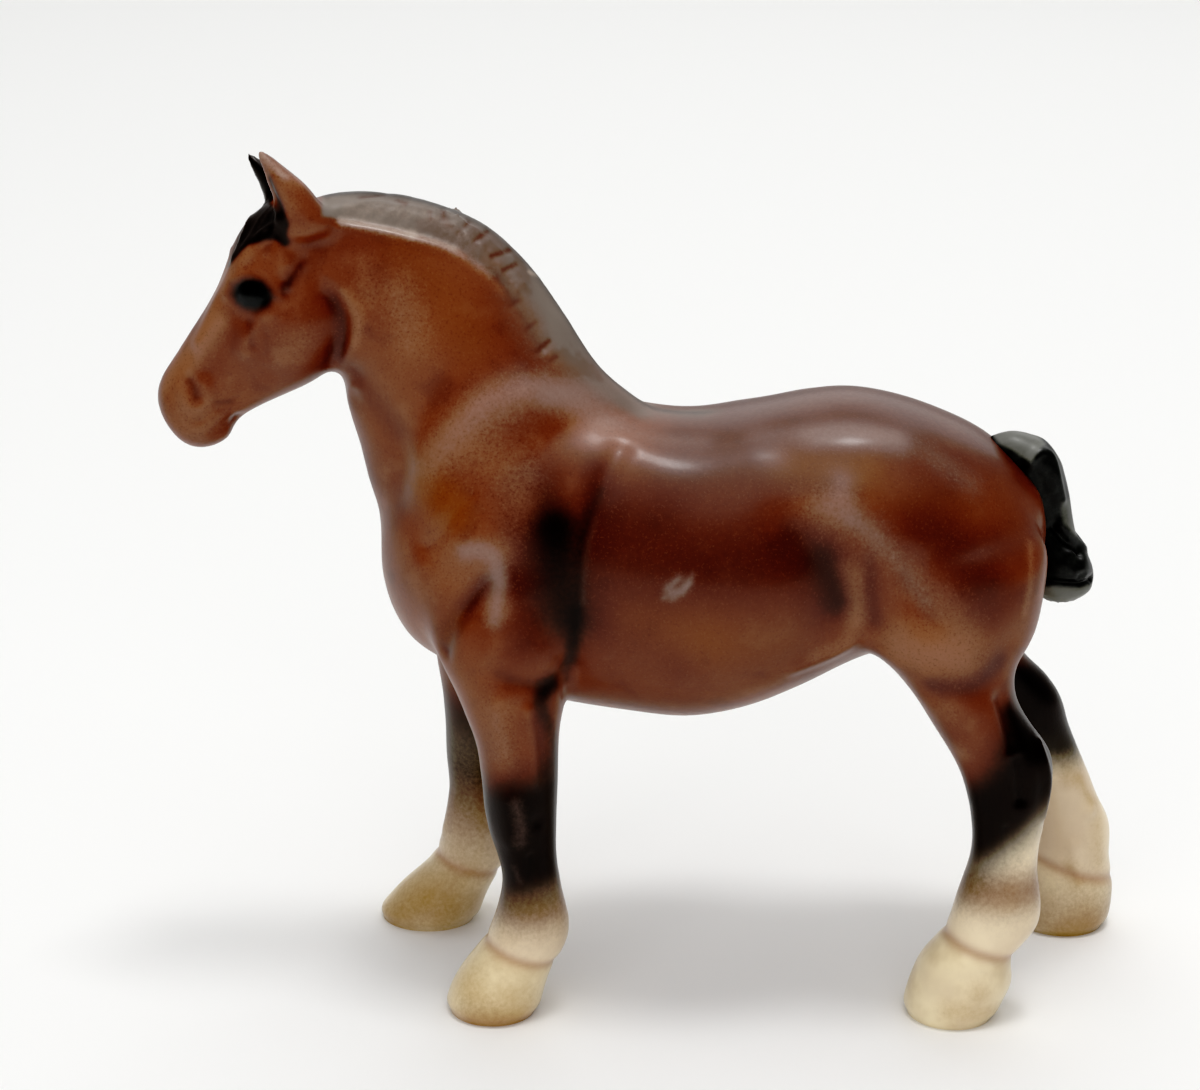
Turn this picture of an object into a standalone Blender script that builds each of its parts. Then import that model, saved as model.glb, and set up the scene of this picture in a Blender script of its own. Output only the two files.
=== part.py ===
"""Toy draft horse: two hollow moulded halves cemented on the middle plane, and a plugged-in tail.

Metres, +Z up. The horse looks along -X and its left side faces -Y. The origin is on the
floor, under the middle of the figure's box.
"""
import math

import bmesh
import bpy
from mathutils import Matrix, Vector

# Driving sizes of the figure
BELLY_HEIGHT = 0.0246
TRUNK_LENGTH = 0.0567
TRUNK_DEPTH = 0.0305
TRUNK_WIDTH = 0.0262
NECK_REACH = 0.0280
NECK_RISE = 0.0195
NECK_WIDTH = 0.0172
HEAD_REACH = 0.0122
HEAD_DROP = 0.0227
HEAD_WIDTH = 0.0096
EAR_LENGTH = 0.0071
EAR_SPREAD = 0.0062
FAR_EAR_LENGTH = 0.0058
FAR_EAR_LEAN = math.radians(14)
LEG_GIRTH = 0.0100
HOOF_INSET = 0.0036
TAIL_LENGTH = 0.0152
TAIL_WIDTH = 0.0064

# Mouldings
WALL = 0.0018
SEAM_GAP = 0.0002
POST_RADIUS = 0.0026
PIN_RADIUS = 0.0010
PIN_LENGTH = 0.0022
PIN_CLEARANCE = 0.00015
PEG_RADIUS = 0.0011
PEG_LENGTH = 0.0050
TAIL_GAP = 0.0003

# Fineness of the moulded skin
SKIN_STEP = 0.0006
CAVITY_STEP = 0.0009
CUTTER_OVERRUN = 0.0100
NECK_HOLLOW_START = 3
ROUND_SIDES = 24
RING_SIDES = 32
SMOOTHING_PASSES = 6
SHARP_ANGLE = math.radians(40)
SKIN_KEPT_SHARE = 0.125
CAVITY_KEPT_SHARE = 0.13
TAIL_KEPT_SHARE = 0.22

# Where the limbs join, as shares of the trunk's length from the chest and of its depth
WITHERS_SHARE = (0.362, 0.92)
NEAR_FORE_FOOT_SHARE = 0.173
FAR_FORE_FOOT_SHARE = 0.056
NEAR_HIND_FOOT_SHARE = 0.898
FAR_HIND_FOOT_SHARE = 1.125
LEG_ROOT_SHARE = 0.48
DOCK_SHARE = (0.96, 0.81)
PIN_PLACE_SHARES = ((0.17, 0.66), (0.47, 0.26), (0.76, 0.70))
PEG_SLOPE_SHARE = 0.25
EAR_BASE_SHARE = (0.18, 0.33)
TRUNK_WIDEST_SHARE = -0.06
NECK_WIDEST_SHARE = -0.20
HEAD_WIDEST_SHARE = 0.05

# Trunk stations: place along the length, back and belly in depths, half width
TRUNK_SHARES = (
    (0.000, 0.62, 0.46, 0.23),
    (0.015, 0.70, 0.36, 0.41),
    (0.045, 0.81, 0.26, 0.60),
    (0.100, 0.91, 0.18, 0.73),
    (0.175, 0.96, 0.11, 0.81),
    (0.280, 0.98, 0.06, 0.86),
    (0.390, 0.94, 0.03, 0.92),
    (0.475, 0.92, 0.02, 0.97),
    (0.565, 0.935, 0.055, 1.00),
    (0.650, 0.97, 0.125, 0.96),
    (0.720, 0.99, 0.195, 0.92),
    (0.795, 0.97, 0.25, 0.89),
    (0.865, 0.92, 0.29, 0.83),
    (0.925, 0.85, 0.34, 0.71),
    (0.975, 0.77, 0.41, 0.50),
    (1.000, 0.68, 0.50, 0.23),
)

# Muscles and the folds between them, seen from the side: what they are, places along the trunk's
# length and depth, reach in depths, and rise in widths (a fold goes in)
MUSCLE_SHARES = (
    ("front of neck", ((-0.03, 1.06), (0.01, 0.91), (0.03, 0.80)), 0.060, -0.013),
    ("neck", ((0.02, 1.28), (0.09, 1.14)), 0.125, 0.011),
    ("breast", ((0.07, 0.81), (0.11, 0.72)), 0.080, 0.013),
    ("shoulder blade", ((0.18, 0.89), (0.16, 0.73)), 0.150, 0.019),
    ("blade's front edge", ((0.05, 0.75), (0.08, 0.85), (0.14, 0.98), (0.23, 1.05)), 0.050, 0.015),
    ("fold before the blade", ((0.02, 0.78), (0.05, 0.90), (0.14, 1.07)), 0.060, -0.013),
    ("blade's rear edge", ((0.27, 1.01), (0.36, 0.89)), 0.050, 0.013),
    ("fold behind the arm", ((0.36, 0.87), (0.32, 0.70), (0.31, 0.55), (0.29, 0.19)), 0.027, -0.028),
    ("back of the arm", ((0.31, 0.79), (0.29, 0.65), (0.28, 0.33)), 0.062, -0.023),
    ("first rib", ((0.37, 0.81), (0.34, 0.68), (0.33, 0.43)), 0.037, 0.017),
    ("chest", ((0.09, 0.48), (0.10, 0.49)), 0.100, 0.019),
    ("shoulder point", ((0.14, 0.61), (0.15, 0.60)), 0.072, 0.017),
    ("fold before the arm", ((0.16, 0.53), (0.13, 0.46), (0.10, 0.32)), 0.034, -0.021),
    ("front of the arm", ((0.18, 0.51), (0.17, 0.30)), 0.043, 0.015),
    ("upper arm", ((0.22, 0.48), (0.24, 0.34)), 0.070, 0.017),
    ("fold under the arm", ((0.17, 0.28), (0.25, 0.24), (0.28, 0.26)), 0.028, -0.019),
    ("side of the back", ((0.39, 0.86), (0.44, 0.83), (0.48, 0.84), (0.55, 0.87)), 0.056, 0.019),
    ("ribs", ((0.40, 0.55), (0.52, 0.54)), 0.180, 0.019),
    ("flank", ((0.62, 0.69), (0.66, 0.59), (0.68, 0.47)), 0.072, -0.036),
    ("flank fold", ((0.62, 0.75), (0.69, 0.63), (0.72, 0.43), (0.70, 0.35)), 0.040, 0.019),
    ("hip", ((0.67, 0.77), (0.68, 0.77)), 0.072, 0.023),
    ("croup", ((0.65, 0.91), (0.78, 0.90)), 0.072, 0.011),
    ("front of the haunch", ((0.71, 0.76), (0.80, 0.66), (0.86, 0.49)), 0.060, 0.015),
    ("fold in the haunch", ((0.78, 0.57), (0.83, 0.45)), 0.036, -0.017),
    ("stifle", ((0.83, 0.34), (0.84, 0.34)), 0.092, 0.021),
    ("haunch", ((0.90, 0.60), (0.91, 0.60)), 0.138, 0.015),
    ("fold above the gaskin", ((0.95, 0.38), (0.92, 0.26), (0.85, 0.23)), 0.043, -0.017),
    ("rear of the haunch", ((0.99, 0.70), (1.00, 0.60), (0.97, 0.44)), 0.033, 0.011),
)

# Neck stations: crest forward and up from the withers, throat forward and up, half width
NECK_SHARES = (
    (0.98, 0.95, 0.88, 0.39, 0.36),
    (0.88, 0.99, 0.88, 0.23, 0.43),
    (0.75, 1.00, 0.86, 0.11, 0.49),
    (0.59, 0.96, 0.84, -0.03, 0.55),
    (0.42, 0.86, 0.81, -0.17, 0.63),
    (0.29, 0.69, 0.78, -0.31, 0.73),
    (0.175, 0.46, 0.745, -0.47, 0.86),
    (0.06, 0.21, 0.73, -0.64, 1.00),
    (-0.10, 0.02, 0.64, -0.83, 1.08),
    (-0.24, -0.12, 0.42, -0.98, 1.00),
)

# Head stations: face forward from the poll and up from the chin, jaw the same, half width
HEAD_SHARES = (
    (0.09, 0.97, -0.42, 0.65, 0.56),
    (0.26, 0.92, -0.43, 0.53, 0.81),
    (0.40, 0.83, -0.38, 0.42, 0.96),
    (0.48, 0.72, -0.28, 0.33, 1.00),
    (0.55, 0.63, -0.11, 0.26, 0.94),
    (0.66, 0.53, 0.08, 0.21, 0.79),
    (0.77, 0.435, 0.26, 0.16, 0.67),
    (0.87, 0.35, 0.42, 0.10, 0.62),
    (0.96, 0.27, 0.53, 0.03, 0.64),
    (1.00, 0.20, 0.67, 0.00, 0.61),
    (0.985, 0.14, 0.82, 0.025, 0.43),
)

# Ear stations in ear lengths: front edge forward and up, back edge the same, half thickness
EAR_SHARES = (
    (0.32, -0.22, -0.36, -0.10, 0.23),
    (0.39, 0.15, -0.24, 0.18, 0.23),
    (0.48, 0.45, 0.03, 0.49, 0.18),
    (0.57, 0.72, 0.32, 0.73, 0.12),
    (0.63, 0.89, 0.53, 0.91, 0.06),
)

# Leg stations: height in belly heights, front and back in girths from the foot's middle,
# half width in girths, and the share of the way out from the leg's root to the hoof
NEAR_FORE_SHARES = (
    (1.63, -0.63, 0.80, 0.46, 0.00),
    (1.46, -0.59, 0.76, 0.50, 0.20),
    (1.34, -0.49, 0.71, 0.48, 0.40),
    (1.22, -0.35, 0.64, 0.43, 0.56),
    (1.12, -0.25, 0.59, 0.39, 0.66),
    (1.02, -0.16, 0.57, 0.36, 0.72),
    (0.89, -0.12, 0.57, 0.34, 0.80),
    (0.77, -0.09, 0.56, 0.32, 0.84),
    (0.69, -0.05, 0.56, 0.29, 0.88),
    (0.62, 0.01, 0.56, 0.27, 0.91),
    (0.53, 0.07, 0.59, 0.26, 0.94),
    (0.45, 0.05, 0.63, 0.28, 0.97),
    (0.37, 0.00, 0.68, 0.32, 1.00),
    (0.30, -0.06, 0.68, 0.34, 1.00),
    (0.24, -0.14, 0.63, 0.36, 1.00),
    (0.195, -0.23, 0.55, 0.38, 1.00),
    (0.13, -0.33, 0.49, 0.41, 1.00),
    (0.065, -0.40, 0.45, 0.43, 1.00),
    (0.00, -0.43, 0.42, 0.43, 1.00),
    (-0.16, -0.43, 0.42, 0.42, 1.00),
)
FAR_FORE_SHARES = (
    (1.63, -0.03, 1.30, 0.46, 0.00),
    (1.46, -0.03, 1.20, 0.50, 0.20),
    (1.34, 0.01, 1.10, 0.48, 0.40),
    (1.22, 0.05, 1.02, 0.43, 0.56),
    (1.12, 0.07, 0.95, 0.39, 0.66),
    (1.02, 0.11, 0.89, 0.36, 0.72),
    (0.89, 0.15, 0.84, 0.34, 0.80),
    (0.77, 0.16, 0.81, 0.32, 0.84),
    (0.69, 0.16, 0.78, 0.29, 0.88),
    (0.62, 0.18, 0.74, 0.27, 0.91),
    (0.53, 0.20, 0.72, 0.26, 0.94),
    (0.45, 0.18, 0.75, 0.28, 0.97),
    (0.37, 0.14, 0.80, 0.32, 1.00),
    (0.30, 0.09, 0.80, 0.34, 1.00),
    (0.24, 0.03, 0.74, 0.36, 1.00),
    (0.195, -0.08, 0.68, 0.38, 1.00),
    (0.13, -0.25, 0.59, 0.41, 1.00),
    (0.065, -0.39, 0.53, 0.43, 1.00),
    (0.00, -0.49, 0.49, 0.43, 1.00),
    (-0.16, -0.49, 0.49, 0.40, 1.00),
)
NEAR_HIND_SHARES = (
    (1.86, -0.80, 0.25, 0.32, -0.50),
    (1.71, -1.14, 0.62, 0.53, 0.00),
    (1.54, -1.10, 0.63, 0.55, 0.20),
    (1.42, -0.98, 0.56, 0.52, 0.35),
    (1.33, -0.68, 0.43, 0.47, 0.47),
    (1.22, -0.46, 0.44, 0.42, 0.60),
    (1.12, -0.30, 0.58, 0.38, 0.68),
    (1.02, -0.15, 0.76, 0.35, 0.80),
    (0.93, -0.03, 0.81, 0.33, 0.82),
    (0.83, 0.05, 0.78, 0.31, 0.88),
    (0.72, 0.10, 0.74, 0.28, 0.91),
    (0.62, 0.10, 0.71, 0.27, 0.94),
    (0.53, 0.04, 0.73, 0.29, 0.97),
    (0.44, -0.02, 0.77, 0.33, 1.00),
    (0.36, -0.06, 0.75, 0.35, 1.00),
    (0.285, -0.16, 0.61, 0.36, 1.00),
    (0.22, -0.29, 0.51, 0.39, 1.00),
    (0.145, -0.36, 0.55, 0.42, 1.00),
    (0.065, -0.41, 0.47, 0.43, 1.00),
    (0.00, -0.43, 0.42, 0.43, 1.00),
    (-0.16, -0.43, 0.42, 0.42, 1.00),
)
FAR_HIND_SHARES = (
    (1.86, -2.08, -1.03, 0.32, -0.50),
    (1.71, -2.40, -0.66, 0.53, 0.00),
    (1.54, -2.30, -0.65, 0.55, 0.20),
    (1.42, -2.10, -0.70, 0.52, 0.35),
    (1.33, -1.85, -0.73, 0.47, 0.47),
    (1.22, -1.57, -0.65, 0.42, 0.60),
    (1.12, -1.31, -0.50, 0.38, 0.68),
    (1.04, -1.12, -0.29, 0.35, 0.80),
    (0.95, -0.94, -0.13, 0.33, 0.82),
    (0.83, -0.77, -0.04, 0.31, 0.88),
    (0.715, -0.57, 0.09, 0.28, 0.91),
    (0.62, -0.43, 0.20, 0.27, 0.94),
    (0.53, -0.35, 0.29, 0.29, 0.97),
    (0.44, -0.32, 0.41, 0.33, 1.00),
    (0.36, -0.33, 0.44, 0.35, 1.00),
    (0.285, -0.37, 0.43, 0.36, 1.00),
    (0.22, -0.41, 0.48, 0.39, 1.00),
    (0.145, -0.44, 0.50, 0.42, 1.00),
    (0.065, -0.45, 0.48, 0.43, 1.00),
    (0.00, -0.45, 0.45, 0.43, 1.00),
    (-0.16, -0.45, 0.45, 0.40, 1.00),
)

# Tail stations in tail lengths from the dock: outer edge back and down, inner edge the same,
# half width
TAIL_SHARES = (
    (-0.09, -0.14, -0.05, 0.08, 0.50),
    (0.01, -0.14, 0.02, 0.11, 0.60),
    (0.11, -0.11, 0.06, 0.13, 0.66),
    (0.215, -0.05, 0.08, 0.17, 0.70),
    (0.30, 0.09, 0.10, 0.27, 0.73),
    (0.355, 0.23, 0.12, 0.39, 0.77),
    (0.395, 0.39, 0.13, 0.51, 0.80),
    (0.45, 0.53, 0.13, 0.61, 0.85),
    (0.52, 0.62, 0.13, 0.70, 0.94),
    (0.575, 0.72, 0.145, 0.78, 1.00),
    (0.56, 0.79, 0.21, 0.83, 0.94),
    (0.50, 0.84, 0.29, 0.86, 0.62),
)


def clear_scene():
    for item in list(bpy.data.objects):
        bpy.data.objects.remove(item, do_unlink=True)


def new_collection(name):
    group = bpy.data.collections.new(name)
    bpy.context.scene.collection.children.link(group)
    return group


def paint(name, colour, roughness):
    material = bpy.data.materials.new(name)
    material.use_nodes = True
    shader = material.node_tree.nodes["Principled BSDF"]
    shader.inputs["Base Color"].default_value = (*colour, 1)
    shader.inputs["Roughness"].default_value = roughness
    shader.inputs["Metallic"].default_value = 0
    return material


def add_object(name, mesh, group, material=None):
    item = bpy.data.objects.new(name, mesh)
    group.objects.link(item)
    if material:
        mesh.materials.append(material)
    return item


def make_guide(item):
    item.hide_render = True
    item.display_type = "WIRE"


def chest_x():
    return -TRUNK_LENGTH / 2


def trunk_point(length_share, depth_share):
    """A point of the middle plane, by its shares of the trunk's length and depth."""
    x = chest_x() + length_share * TRUNK_LENGTH
    return Vector((x, 0, BELLY_HEIGHT + depth_share * TRUNK_DEPTH))


def ring(upper, lower, half_width, sideways, widest_share):
    """One oval section: an upper and a lower edge point, and its half width between them."""
    middle = (upper + lower) / 2
    rise = (upper - lower) / 2
    points = []
    for index in range(RING_SIDES):
        angle = math.tau * index / RING_SIDES
        height = math.cos(angle)
        bulge = widest_share * (1 - height * height)
        point = middle + rise * (height + bulge)
        points.append(Vector((point.x, sideways + half_width * math.sin(angle), point.z)))
    return points


def smooth_rings(rings, steps=3):
    """Rings between the stations, on a curve that passes through every station's ring."""
    result = []
    last = len(rings) - 1
    for index in range(last):
        before, start = rings[max(index - 1, 0)], rings[index]
        end, after = rings[index + 1], rings[min(index + 2, last)]
        for step in range(steps):
            t = step / steps
            result.append([
                0.5 * (2 * b + (c - a) * t + (2 * a - 5 * b + 4 * c - d) * t ** 2
                       + (3 * b - a - 3 * c + d) * t ** 3)
                for a, b, c, d in zip(before, start, end, after)])
    result.append(rings[-1])
    return result


def loft_into(shape, rings):
    """Add a closed skin over a row of rings to a bmesh."""
    rows = [[shape.verts.new(point) for point in points] for points in smooth_rings(rings)]
    faces = [shape.faces.new(rows[0]), shape.faces.new(list(reversed(rows[-1])))]
    for lower, upper in zip(rows, rows[1:]):
        for index in range(RING_SIDES):
            after = (index + 1) % RING_SIDES
            corners = (lower[after], lower[index], upper[index], upper[after])
            faces.append(shape.faces.new(corners))
    bmesh.ops.recalc_face_normals(shape, faces=faces)


def trunk_rings(inset=0.0):
    front = chest_x() + inset
    rear = chest_x() + TRUNK_LENGTH - inset
    rings = []
    for place, back, belly, width in TRUNK_SHARES:
        upper, lower = trunk_point(place, back), trunk_point(place, belly)
        upper.x = lower.x = min(max(upper.x, front), rear)
        upper.z -= inset
        lower.z += inset
        half_width = width * TRUNK_WIDTH / 2 - inset
        if half_width > 0 and upper.z > lower.z:
            rings.append(ring(upper, lower, half_width, 0, TRUNK_WIDEST_SHARE))
    return rings


def neck_rings(inset=0.0, rows=NECK_SHARES):
    withers = trunk_point(*WITHERS_SHARE)
    rings = []
    for crest_out, crest_up, throat_out, throat_up, width in rows:
        upper = withers + Vector((-crest_out * NECK_REACH, 0, crest_up * NECK_RISE))
        lower = withers + Vector((-throat_out * NECK_REACH, 0, throat_up * NECK_RISE))
        inward = (lower - upper).normalized() * inset
        half_width = width * NECK_WIDTH / 2 - inset
        rings.append(ring(upper + inward, lower - inward, half_width, 0, NECK_WIDEST_SHARE))
    return rings


def head_rings():
    poll = trunk_point(*WITHERS_SHARE) + Vector((-NECK_REACH, 0, NECK_RISE))
    chin_height = poll.z - HEAD_DROP
    rings = []
    for face_out, face_up, jaw_out, jaw_up, width in HEAD_SHARES:
        upper = Vector((poll.x - face_out * HEAD_REACH, 0, chin_height + face_up * HEAD_DROP))
        lower = Vector((poll.x - jaw_out * HEAD_REACH, 0, chin_height + jaw_up * HEAD_DROP))
        rings.append(ring(upper, lower, width * HEAD_WIDTH / 2, 0, HEAD_WIDEST_SHARE))
    return rings


def ear_rings(side, length, lean):
    """One ear, leaning forward by an angle about its base behind the poll."""
    poll = trunk_point(*WITHERS_SHARE) + Vector((-NECK_REACH, 0, NECK_RISE))
    base = poll + Vector((EAR_BASE_SHARE[0], 0, -EAR_BASE_SHARE[1])) * EAR_LENGTH
    turn = Matrix.Rotation(-lean, 3, "Y")
    rings = []
    for front_out, front_up, back_out, back_up, thickness in EAR_SHARES:
        upper = base + turn @ Vector((-front_out, 0, front_up)) * length
        lower = base + turn @ Vector((-back_out, 0, back_up)) * length
        rings.append(ring(upper, lower, thickness * length, side * EAR_SPREAD / 2, 0))
    return rings


def leg_rings(side, foot_share, rows):
    foot_x = trunk_point(foot_share, 0).x
    rings = []
    root, hoof = LEG_ROOT_SHARE * TRUNK_WIDTH / 2, TRUNK_WIDTH / 2 - HOOF_INSET
    for height, front, back, width, way_out in rows:
        z = height * BELLY_HEIGHT
        upper = Vector((foot_x + front * LEG_GIRTH, 0, z))
        lower = Vector((foot_x + back * LEG_GIRTH, 0, z))
        sideways = side * (root + way_out * (hoof - root))
        rings.append(ring(upper, lower, width * LEG_GIRTH, sideways, 0))
    return rings


def tail_rings():
    dock = trunk_point(*DOCK_SHARE)
    rings = []
    for outer_back, outer_down, inner_back, inner_down, width in TAIL_SHARES:
        upper = dock + Vector((outer_back, 0, -outer_down)) * TAIL_LENGTH
        lower = dock + Vector((inner_back, 0, -inner_down)) * TAIL_LENGTH
        rings.append(ring(upper, lower, width * TAIL_WIDTH / 2, 0, 0))
    return rings


def baked(item):
    """The object's evaluated mesh, with its modifiers taken off."""
    graph = bpy.context.evaluated_depsgraph_get()
    mesh = bpy.data.meshes.new_from_object(item.evaluated_get(graph))
    item.modifiers.clear()
    item.data = mesh
    return item


def muscle_rise(x, z):
    """How far the muscles stand out of the plain form at a place seen from the side."""
    rise = 0
    for _, places, reach, height in MUSCLE_SHARES:
        points = [trunk_point(*place) for place in places]
        gaps = []
        for start, end in zip(points, points[1:]):
            along = end - start
            ahead = ((x - start.x) * along.x + (z - start.z) * along.z) / along.length_squared
            nearest = start + along * min(max(ahead, 0), 1)
            gaps.append(math.hypot(x - nearest.x, z - nearest.z))
        rise += height * TRUNK_WIDTH * math.exp(-(min(gaps) / (reach * TRUNK_DEPTH)) ** 2)
    return rise


def raise_muscles(item):
    """Move the skin of both sides out or in by the muscles, along its own normals."""
    moves = []
    for vertex in item.data.vertices:
        sideways = vertex.normal.y * math.copysign(1, vertex.co.y)
        rise = muscle_rise(vertex.co.x, vertex.co.z) if sideways > 0 else 0
        moves.append(vertex.normal * rise * min(2 * sideways, 1))
    for vertex, move in zip(item.data.vertices, moves):
        vertex.co += move


def moulded_skin(name, ring_rows, step, kept_share, group, muscled=False):
    """Fuse overlapping lofts into one closed skin, round its joins and thin out its faces."""
    shape = bmesh.new()
    for rings in ring_rows:
        loft_into(shape, rings)
    mesh = bpy.data.meshes.new(name)
    shape.to_mesh(mesh)
    shape.free()
    skin = add_object(name, mesh, group)
    fuse = skin.modifiers.new("Fuse", "REMESH")
    fuse.mode = "VOXEL"
    fuse.voxel_size = step
    soften = skin.modifiers.new("Soften", "SMOOTH")
    soften.iterations = SMOOTHING_PASSES
    baked(skin)
    if muscled:
        raise_muscles(skin)
    thin = skin.modifiers.new("Thin", "DECIMATE")
    thin.ratio = kept_share
    return baked(skin)


def box(name, low, high, group):
    """A box cutter between two corners."""
    shape = bmesh.new()
    size = high - low
    matrix = Matrix.Translation((low + high) / 2) @ Matrix.Diagonal((*size, 1))
    bmesh.ops.create_cube(shape, size=1, matrix=matrix)
    mesh = bpy.data.meshes.new(name)
    shape.to_mesh(mesh)
    shape.free()
    item = add_object(name, mesh, group)
    make_guide(item)
    return item


def rod(name, start, end, radius, group):
    """A round rod between two points."""
    shape = bmesh.new()
    axis = end - start
    turn = axis.to_track_quat("Z", "Y").to_matrix().to_4x4()
    matrix = Matrix.Translation((start + end) / 2) @ turn
    bmesh.ops.create_cone(shape, cap_ends=True, segments=ROUND_SIDES, radius1=radius,
                          radius2=radius, depth=axis.length, matrix=matrix)
    mesh = bpy.data.meshes.new(name)
    shape.to_mesh(mesh)
    shape.free()
    item = add_object(name, mesh, group)
    make_guide(item)
    return item


def combine(item, other, operation):
    change = item.modifiers.new(other.name, "BOOLEAN")
    change.operation = operation
    change.solver = "EXACT"
    change.object = other


def peg_ends():
    """The tail peg's outer and inner end, on the middle plane inside the rump."""
    dock = trunk_point(*DOCK_SHARE)
    inward = Vector((-1, 0, -PEG_SLOPE_SHARE)).normalized()
    return dock, dock + inward * PEG_LENGTH


def make_cavity(cutters):
    """The hollow of the two halves: trunk and lower neck, less the posts left standing in it."""
    lower_neck = NECK_SHARES[NECK_HOLLOW_START:]
    rows = (trunk_rings(WALL), neck_rings(WALL, lower_neck))
    cavity = moulded_skin("cavity", rows, CAVITY_STEP, CAVITY_KEPT_SHARE, cutters, muscled=True)
    reach = Vector((0, TRUNK_WIDTH, 0))
    for number, place in enumerate(PIN_PLACE_SHARES):
        centre = trunk_point(*place)
        name = f"post_{number + 1}"
        combine(cavity, rod(name, centre - reach, centre + reach, POST_RADIUS, cutters), "DIFFERENCE")
    outer, inner = peg_ends()
    stop = inner + (inner - outer).normalized() * WALL
    socket_block = rod("socket_block", outer, stop, PEG_RADIUS + WALL, cutters)
    combine(cavity, socket_block, "DIFFERENCE")
    make_guide(cavity)
    return baked(cavity)


def make_half(name, side, skin, cavity, material, parts, cutters):
    """One half shell: side -1 is the horse's left with pins, side +1 its right with sockets."""
    half = add_object(name, skin.data.copy(), parts, material)
    reach = TRUNK_LENGTH + NECK_REACH + HEAD_REACH
    inner, outer = side * SEAM_GAP / 2, side * (TRUNK_WIDTH + LEG_GIRTH)
    low = Vector((-reach, min(inner, outer), 0))
    high = Vector((reach, max(inner, outer), BELLY_HEIGHT + TRUNK_DEPTH + NECK_RISE + EAR_LENGTH))
    combine(half, box(name + "_space", low, high, cutters), "INTERSECT")
    combine(half, cavity, "DIFFERENCE")
    outer_end, inner_end = peg_ends()
    along = (inner_end - outer_end).normalized()
    socket = rod(name + "_tail_socket", outer_end - along * CUTTER_OVERRUN,
                 inner_end + along * PIN_CLEARANCE, PEG_RADIUS + PIN_CLEARANCE, cutters)
    combine(half, socket, "DIFFERENCE")
    for number, place in enumerate(PIN_PLACE_SHARES):
        centre = trunk_point(*place)
        label = f"{name}_{number + 1}"
        if side < 0:
            root = centre - Vector((0, PIN_LENGTH, 0))
            tip = centre + Vector((0, PIN_LENGTH, 0))
            combine(half, rod(label + "_pin", root, tip, PIN_RADIUS, cutters), "UNION")
        else:
            bottom = centre + Vector((0, PIN_LENGTH + PIN_CLEARANCE, 0))
            mouth = centre - Vector((0, CUTTER_OVERRUN, 0))
            bore = rod(label + "_socket", mouth, bottom, PIN_RADIUS + PIN_CLEARANCE, cutters)
            combine(half, bore, "DIFFERENCE")
    return half


def make_tail(skin, material, parts, cutters):
    """The bound-up tail, cut to stand just clear of the rump, with its peg."""
    tail = moulded_skin("tail", (tail_rings(),), SKIN_STEP, TAIL_KEPT_SHARE, parts)
    tail.data.materials.append(material)
    rump = add_object("rump_clearance", skin.data.copy(), cutters)
    swell = rump.modifiers.new("Swell", "DISPLACE")
    swell.strength = TAIL_GAP
    swell.mid_level = 0
    make_guide(rump)
    combine(tail, baked(rump), "DIFFERENCE")
    outer, inner = peg_ends()
    start = outer + (outer - inner).normalized() * PEG_RADIUS
    combine(tail, rod("tail_peg", start, inner, PEG_RADIUS, cutters), "UNION")
    return tail


def centre_on_floor(items):
    """Move finished meshes so that the middle of their common box is over the origin."""
    corners = [corner for item in items for corner in (vertex.co for vertex in item.data.vertices)]
    low = min(corner.x for corner in corners)
    high = max(corner.x for corner in corners)
    move = Matrix.Translation((-(low + high) / 2, 0, 0))
    for item in items:
        item.data.transform(move)


def build():
    clear_scene()
    parts = new_collection("toy_draft_horse")
    cutters = new_collection("cutters")
    coat = paint("bay_coat", (0.19, 0.065, 0.03), 0.38)
    black = paint("black_tail", (0.012, 0.011, 0.010), 0.35)

    lofts = [trunk_rings(), neck_rings(), head_rings()]
    lofts.append(ear_rings(-1, EAR_LENGTH, 0))
    lofts.append(ear_rings(1, FAR_EAR_LENGTH, FAR_EAR_LEAN))
    lofts.append(leg_rings(-1, NEAR_FORE_FOOT_SHARE, NEAR_FORE_SHARES))
    lofts.append(leg_rings(1, FAR_FORE_FOOT_SHARE, FAR_FORE_SHARES))
    lofts.append(leg_rings(-1, NEAR_HIND_FOOT_SHARE, NEAR_HIND_SHARES))
    lofts.append(leg_rings(1, FAR_HIND_FOOT_SHARE, FAR_HIND_SHARES))
    skin = moulded_skin("whole_skin", lofts, SKIN_STEP, SKIN_KEPT_SHARE, cutters, muscled=True)
    make_guide(skin)
    cavity = make_cavity(cutters)

    left = make_half("left_body_half", -1, skin, cavity, coat, parts, cutters)
    right = make_half("right_body_half", 1, skin, cavity, coat, parts, cutters)
    tail = make_tail(skin, black, parts, cutters)
    finished = [baked(item) for item in (left, right, tail)]
    centre_on_floor(finished)
    for item in finished:
        item.data.shade_smooth()
        item.data.set_sharp_from_angle(angle=SHARP_ANGLE)


build()
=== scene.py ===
import math

import bmesh
import bpy
import numpy as np
from mathutils import Matrix, Vector
from mathutils.bvhtree import BVHTree


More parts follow.
